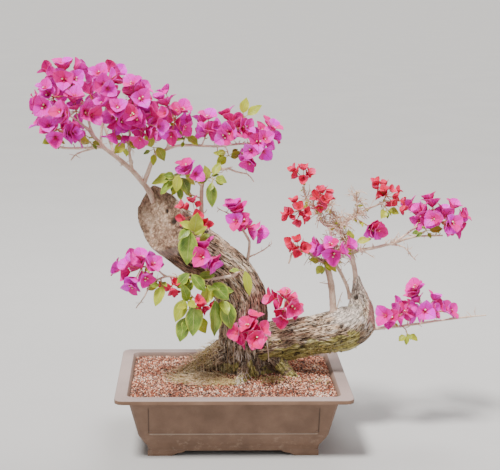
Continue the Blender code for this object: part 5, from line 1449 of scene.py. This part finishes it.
draw = random.Random(8)
growth = Shells()
for middle, reach, share in CUSHIONS:
    for _ in range(round(MOSS_SHOOTS * share)):
        x, y = draw.gauss(middle[0], reach * 0.5), draw.gauss(middle[1], reach * 0.42)
        ground = surface_at(x, y)
        if ground is None or ground[0].z < 106 or ground[0].z > 185:
            continue
        lean = (ground[1] + Vector([draw.uniform(-0.7, 0.7) for _ in range(3)])).normalized()
        length = draw.uniform(1.6, 4.2)
        points, faces = tube([ground[0] - lean * 0.5, ground[0] + lean * length * 0.55,
                              ground[0] + lean * length], [0.75, 0.85, 0.15], 4)
        growth.add(points, faces, tone=draw.uniform(0.0, 0.5),
                   tip=np.repeat([0.0, 0.6, 1.0], 4))
for number in range(DRY_FIBRES + ROOTLETS):
    hanging = number >= DRY_FIBRES
    if hanging:
        start = Vector((draw.uniform(-30, 30), -58, draw.uniform(128, 168)))
        place = skin_tree.find_nearest(start)[0]
        heading = Vector((draw.uniform(-0.5, 0.5), -0.5, -1)).normalized()
        length, radius = draw.uniform(9, 26), draw.uniform(0.30, 0.6)
    else:
        x, y = draw.gauss(-56, 26), draw.gauss(-18, 20)
        ground = surface_at(x, y)
        if ground is None or ground[0].z < 106 or ground[0].z > 170:
            continue
        place = ground[0] + Vector((0, 0, draw.uniform(1.5, 5.0)))
        turn = draw.gauss(2.9, 0.8)
        heading = Vector((math.cos(turn), math.sin(turn), draw.uniform(-0.25, 0.15)))
        length, radius = draw.uniform(7, 22), draw.uniform(0.28, 0.5)
    line = [place]
    for step in range(4):
        heading = (heading + Vector([draw.uniform(-0.3, 0.3) for _ in range(3)])).normalized()
        line.append(line[-1] + heading * length / 4)
        floor = surface_at(line[-1].x, line[-1].y)
        if floor is not None and line[-1].z < floor[0].z + 0.8:
            line[-1].z = floor[0].z + 0.8
    points, faces = tube(line, [radius, radius, radius * 0.9, radius * 0.7, radius * 0.4], 4)
    growth.add(points, faces, tone=draw.uniform(0.85, 1.0) if hanging else draw.uniform(0.6, 0.84),
               tip=np.repeat([0.0, 0.3, 0.5, 0.8, 1.0], 4))

moss_finish = Finish("moss_and_fibres", 0.95)
tone, tip = moss_finish.attribute("tone"), moss_finish.attribute("tip")
fuzz = moss_finish.noise(moss_finish.place(), 700, 3, 0.7)
colour = moss_finish.ramp(tone + (fuzz - 0.5) * 0.12,
                          [(0.00, (0.440, 0.340, 0.110)), (0.22, (0.720, 0.590, 0.250)),
                           (0.45, (0.900, 0.750, 0.440)), (0.62, (0.780, 0.580, 0.340)),
                           (0.82, (0.930, 0.800, 0.580)), (0.90, (0.960, 0.900, 0.830))])
moss_finish.set("Base Color", moss_finish.blend(1 - tip, colour, (0.260, 0.180, 0.100), "MULTIPLY"))
moss_finish.set("Roughness", 0.8 + fuzz * 0.2)
moss_finish.bump(fuzz, 0.0003)
add_to_plant(growth.piece("moss_and_rootlets"), moss_finish, "bark", smooth=60)


# Floor, lights and camera. A plain pale floor and world, a large soft light from above and behind,
# a key from the front left and a weak fill, and the camera at the photo's angle.

CAMERA_PLACE = (-65.5, -2102.7, 799.1)
CAMERA_PITCH, CAMERA_YAW, CAMERA_ROLL = 11.60, 2.55, 0.70
LENS = 89.37
FLOOR_SIZE = 900
# each light as (name, kind, place, place it points at, width or angle, strength, colour)
LIGHTS = [("key", "SUN", (-600, -800, 2200), (0, 0, 350), math.radians(12), 5.4, (1.0, 0.97, 0.93)),
          ("top_back", "AREA", (450, 1000, 2100), (0, 0, 330), 1.2, 34, (1.0, 0.98, 0.96)),
          ("fill", "AREA", (1500, -1900, 900), (0, 0, 300), 1.8, 9, (1.0, 0.98, 0.96))]

pale_floor = Finish("pale_floor", 0.85)
scuffs = pale_floor.noise(pale_floor.place(), 3, 5)
pale_floor.set("Base Color", pale_floor.blend(scuffs, (0.48, 0.48, 0.48), (0.54, 0.54, 0.54)))
bpy.ops.mesh.primitive_plane_add(size=FLOOR_SIZE, location=(0, 0, ORIGIN.z))
floor = bpy.context.object
floor.name = "floor"
floor.data.materials.append(pale_floor.material)

world = bpy.data.worlds.new("pale_studio")
world.use_nodes = True
world.node_tree.nodes["Background"].inputs["Color"].default_value = (0.92, 0.89, 0.86, 1)
world.node_tree.nodes["Background"].inputs["Strength"].default_value = 0.46
bpy.context.scene.world = world

for name, kind, place, target, width, strength, tint in LIGHTS:
    lamp = bpy.data.lights.new(name, kind)
    lamp.energy, lamp.color = strength, tint
    setattr(lamp, "angle" if kind == "SUN" else "size", width)
    light = bpy.data.objects.new(name, lamp)
    light.location = ORIGIN + Vector(place) * MM
    light.rotation_euler = (Vector(place) - Vector(target)).to_track_quat("Z", "Y").to_euler()
    bpy.context.scene.collection.objects.link(light)

pitch, yaw, roll = map(math.radians, (CAMERA_PITCH, CAMERA_YAW, CAMERA_ROLL))
ahead = Vector((math.sin(yaw) * math.cos(pitch), math.cos(yaw) * math.cos(pitch),
                -math.sin(pitch)))
level = Vector((math.cos(yaw), -math.sin(yaw), 0))
upright = level.cross(ahead)
right = level * math.cos(roll) + upright * math.sin(roll)
up = upright * math.cos(roll) - level * math.sin(roll)
lens = bpy.data.cameras.new("photo_camera")
lens.lens, lens.sensor_width, lens.sensor_fit = LENS, 36, "HORIZONTAL"
camera = bpy.data.objects.new("photo_camera", lens)
bpy.context.scene.collection.objects.link(camera)
camera.matrix_world = (Matrix.Translation(ORIGIN + Vector(CAMERA_PLACE) * MM)
                       @ Matrix((right, up, -ahead)).transposed().to_4x4())
bpy.context.scene.camera = camera
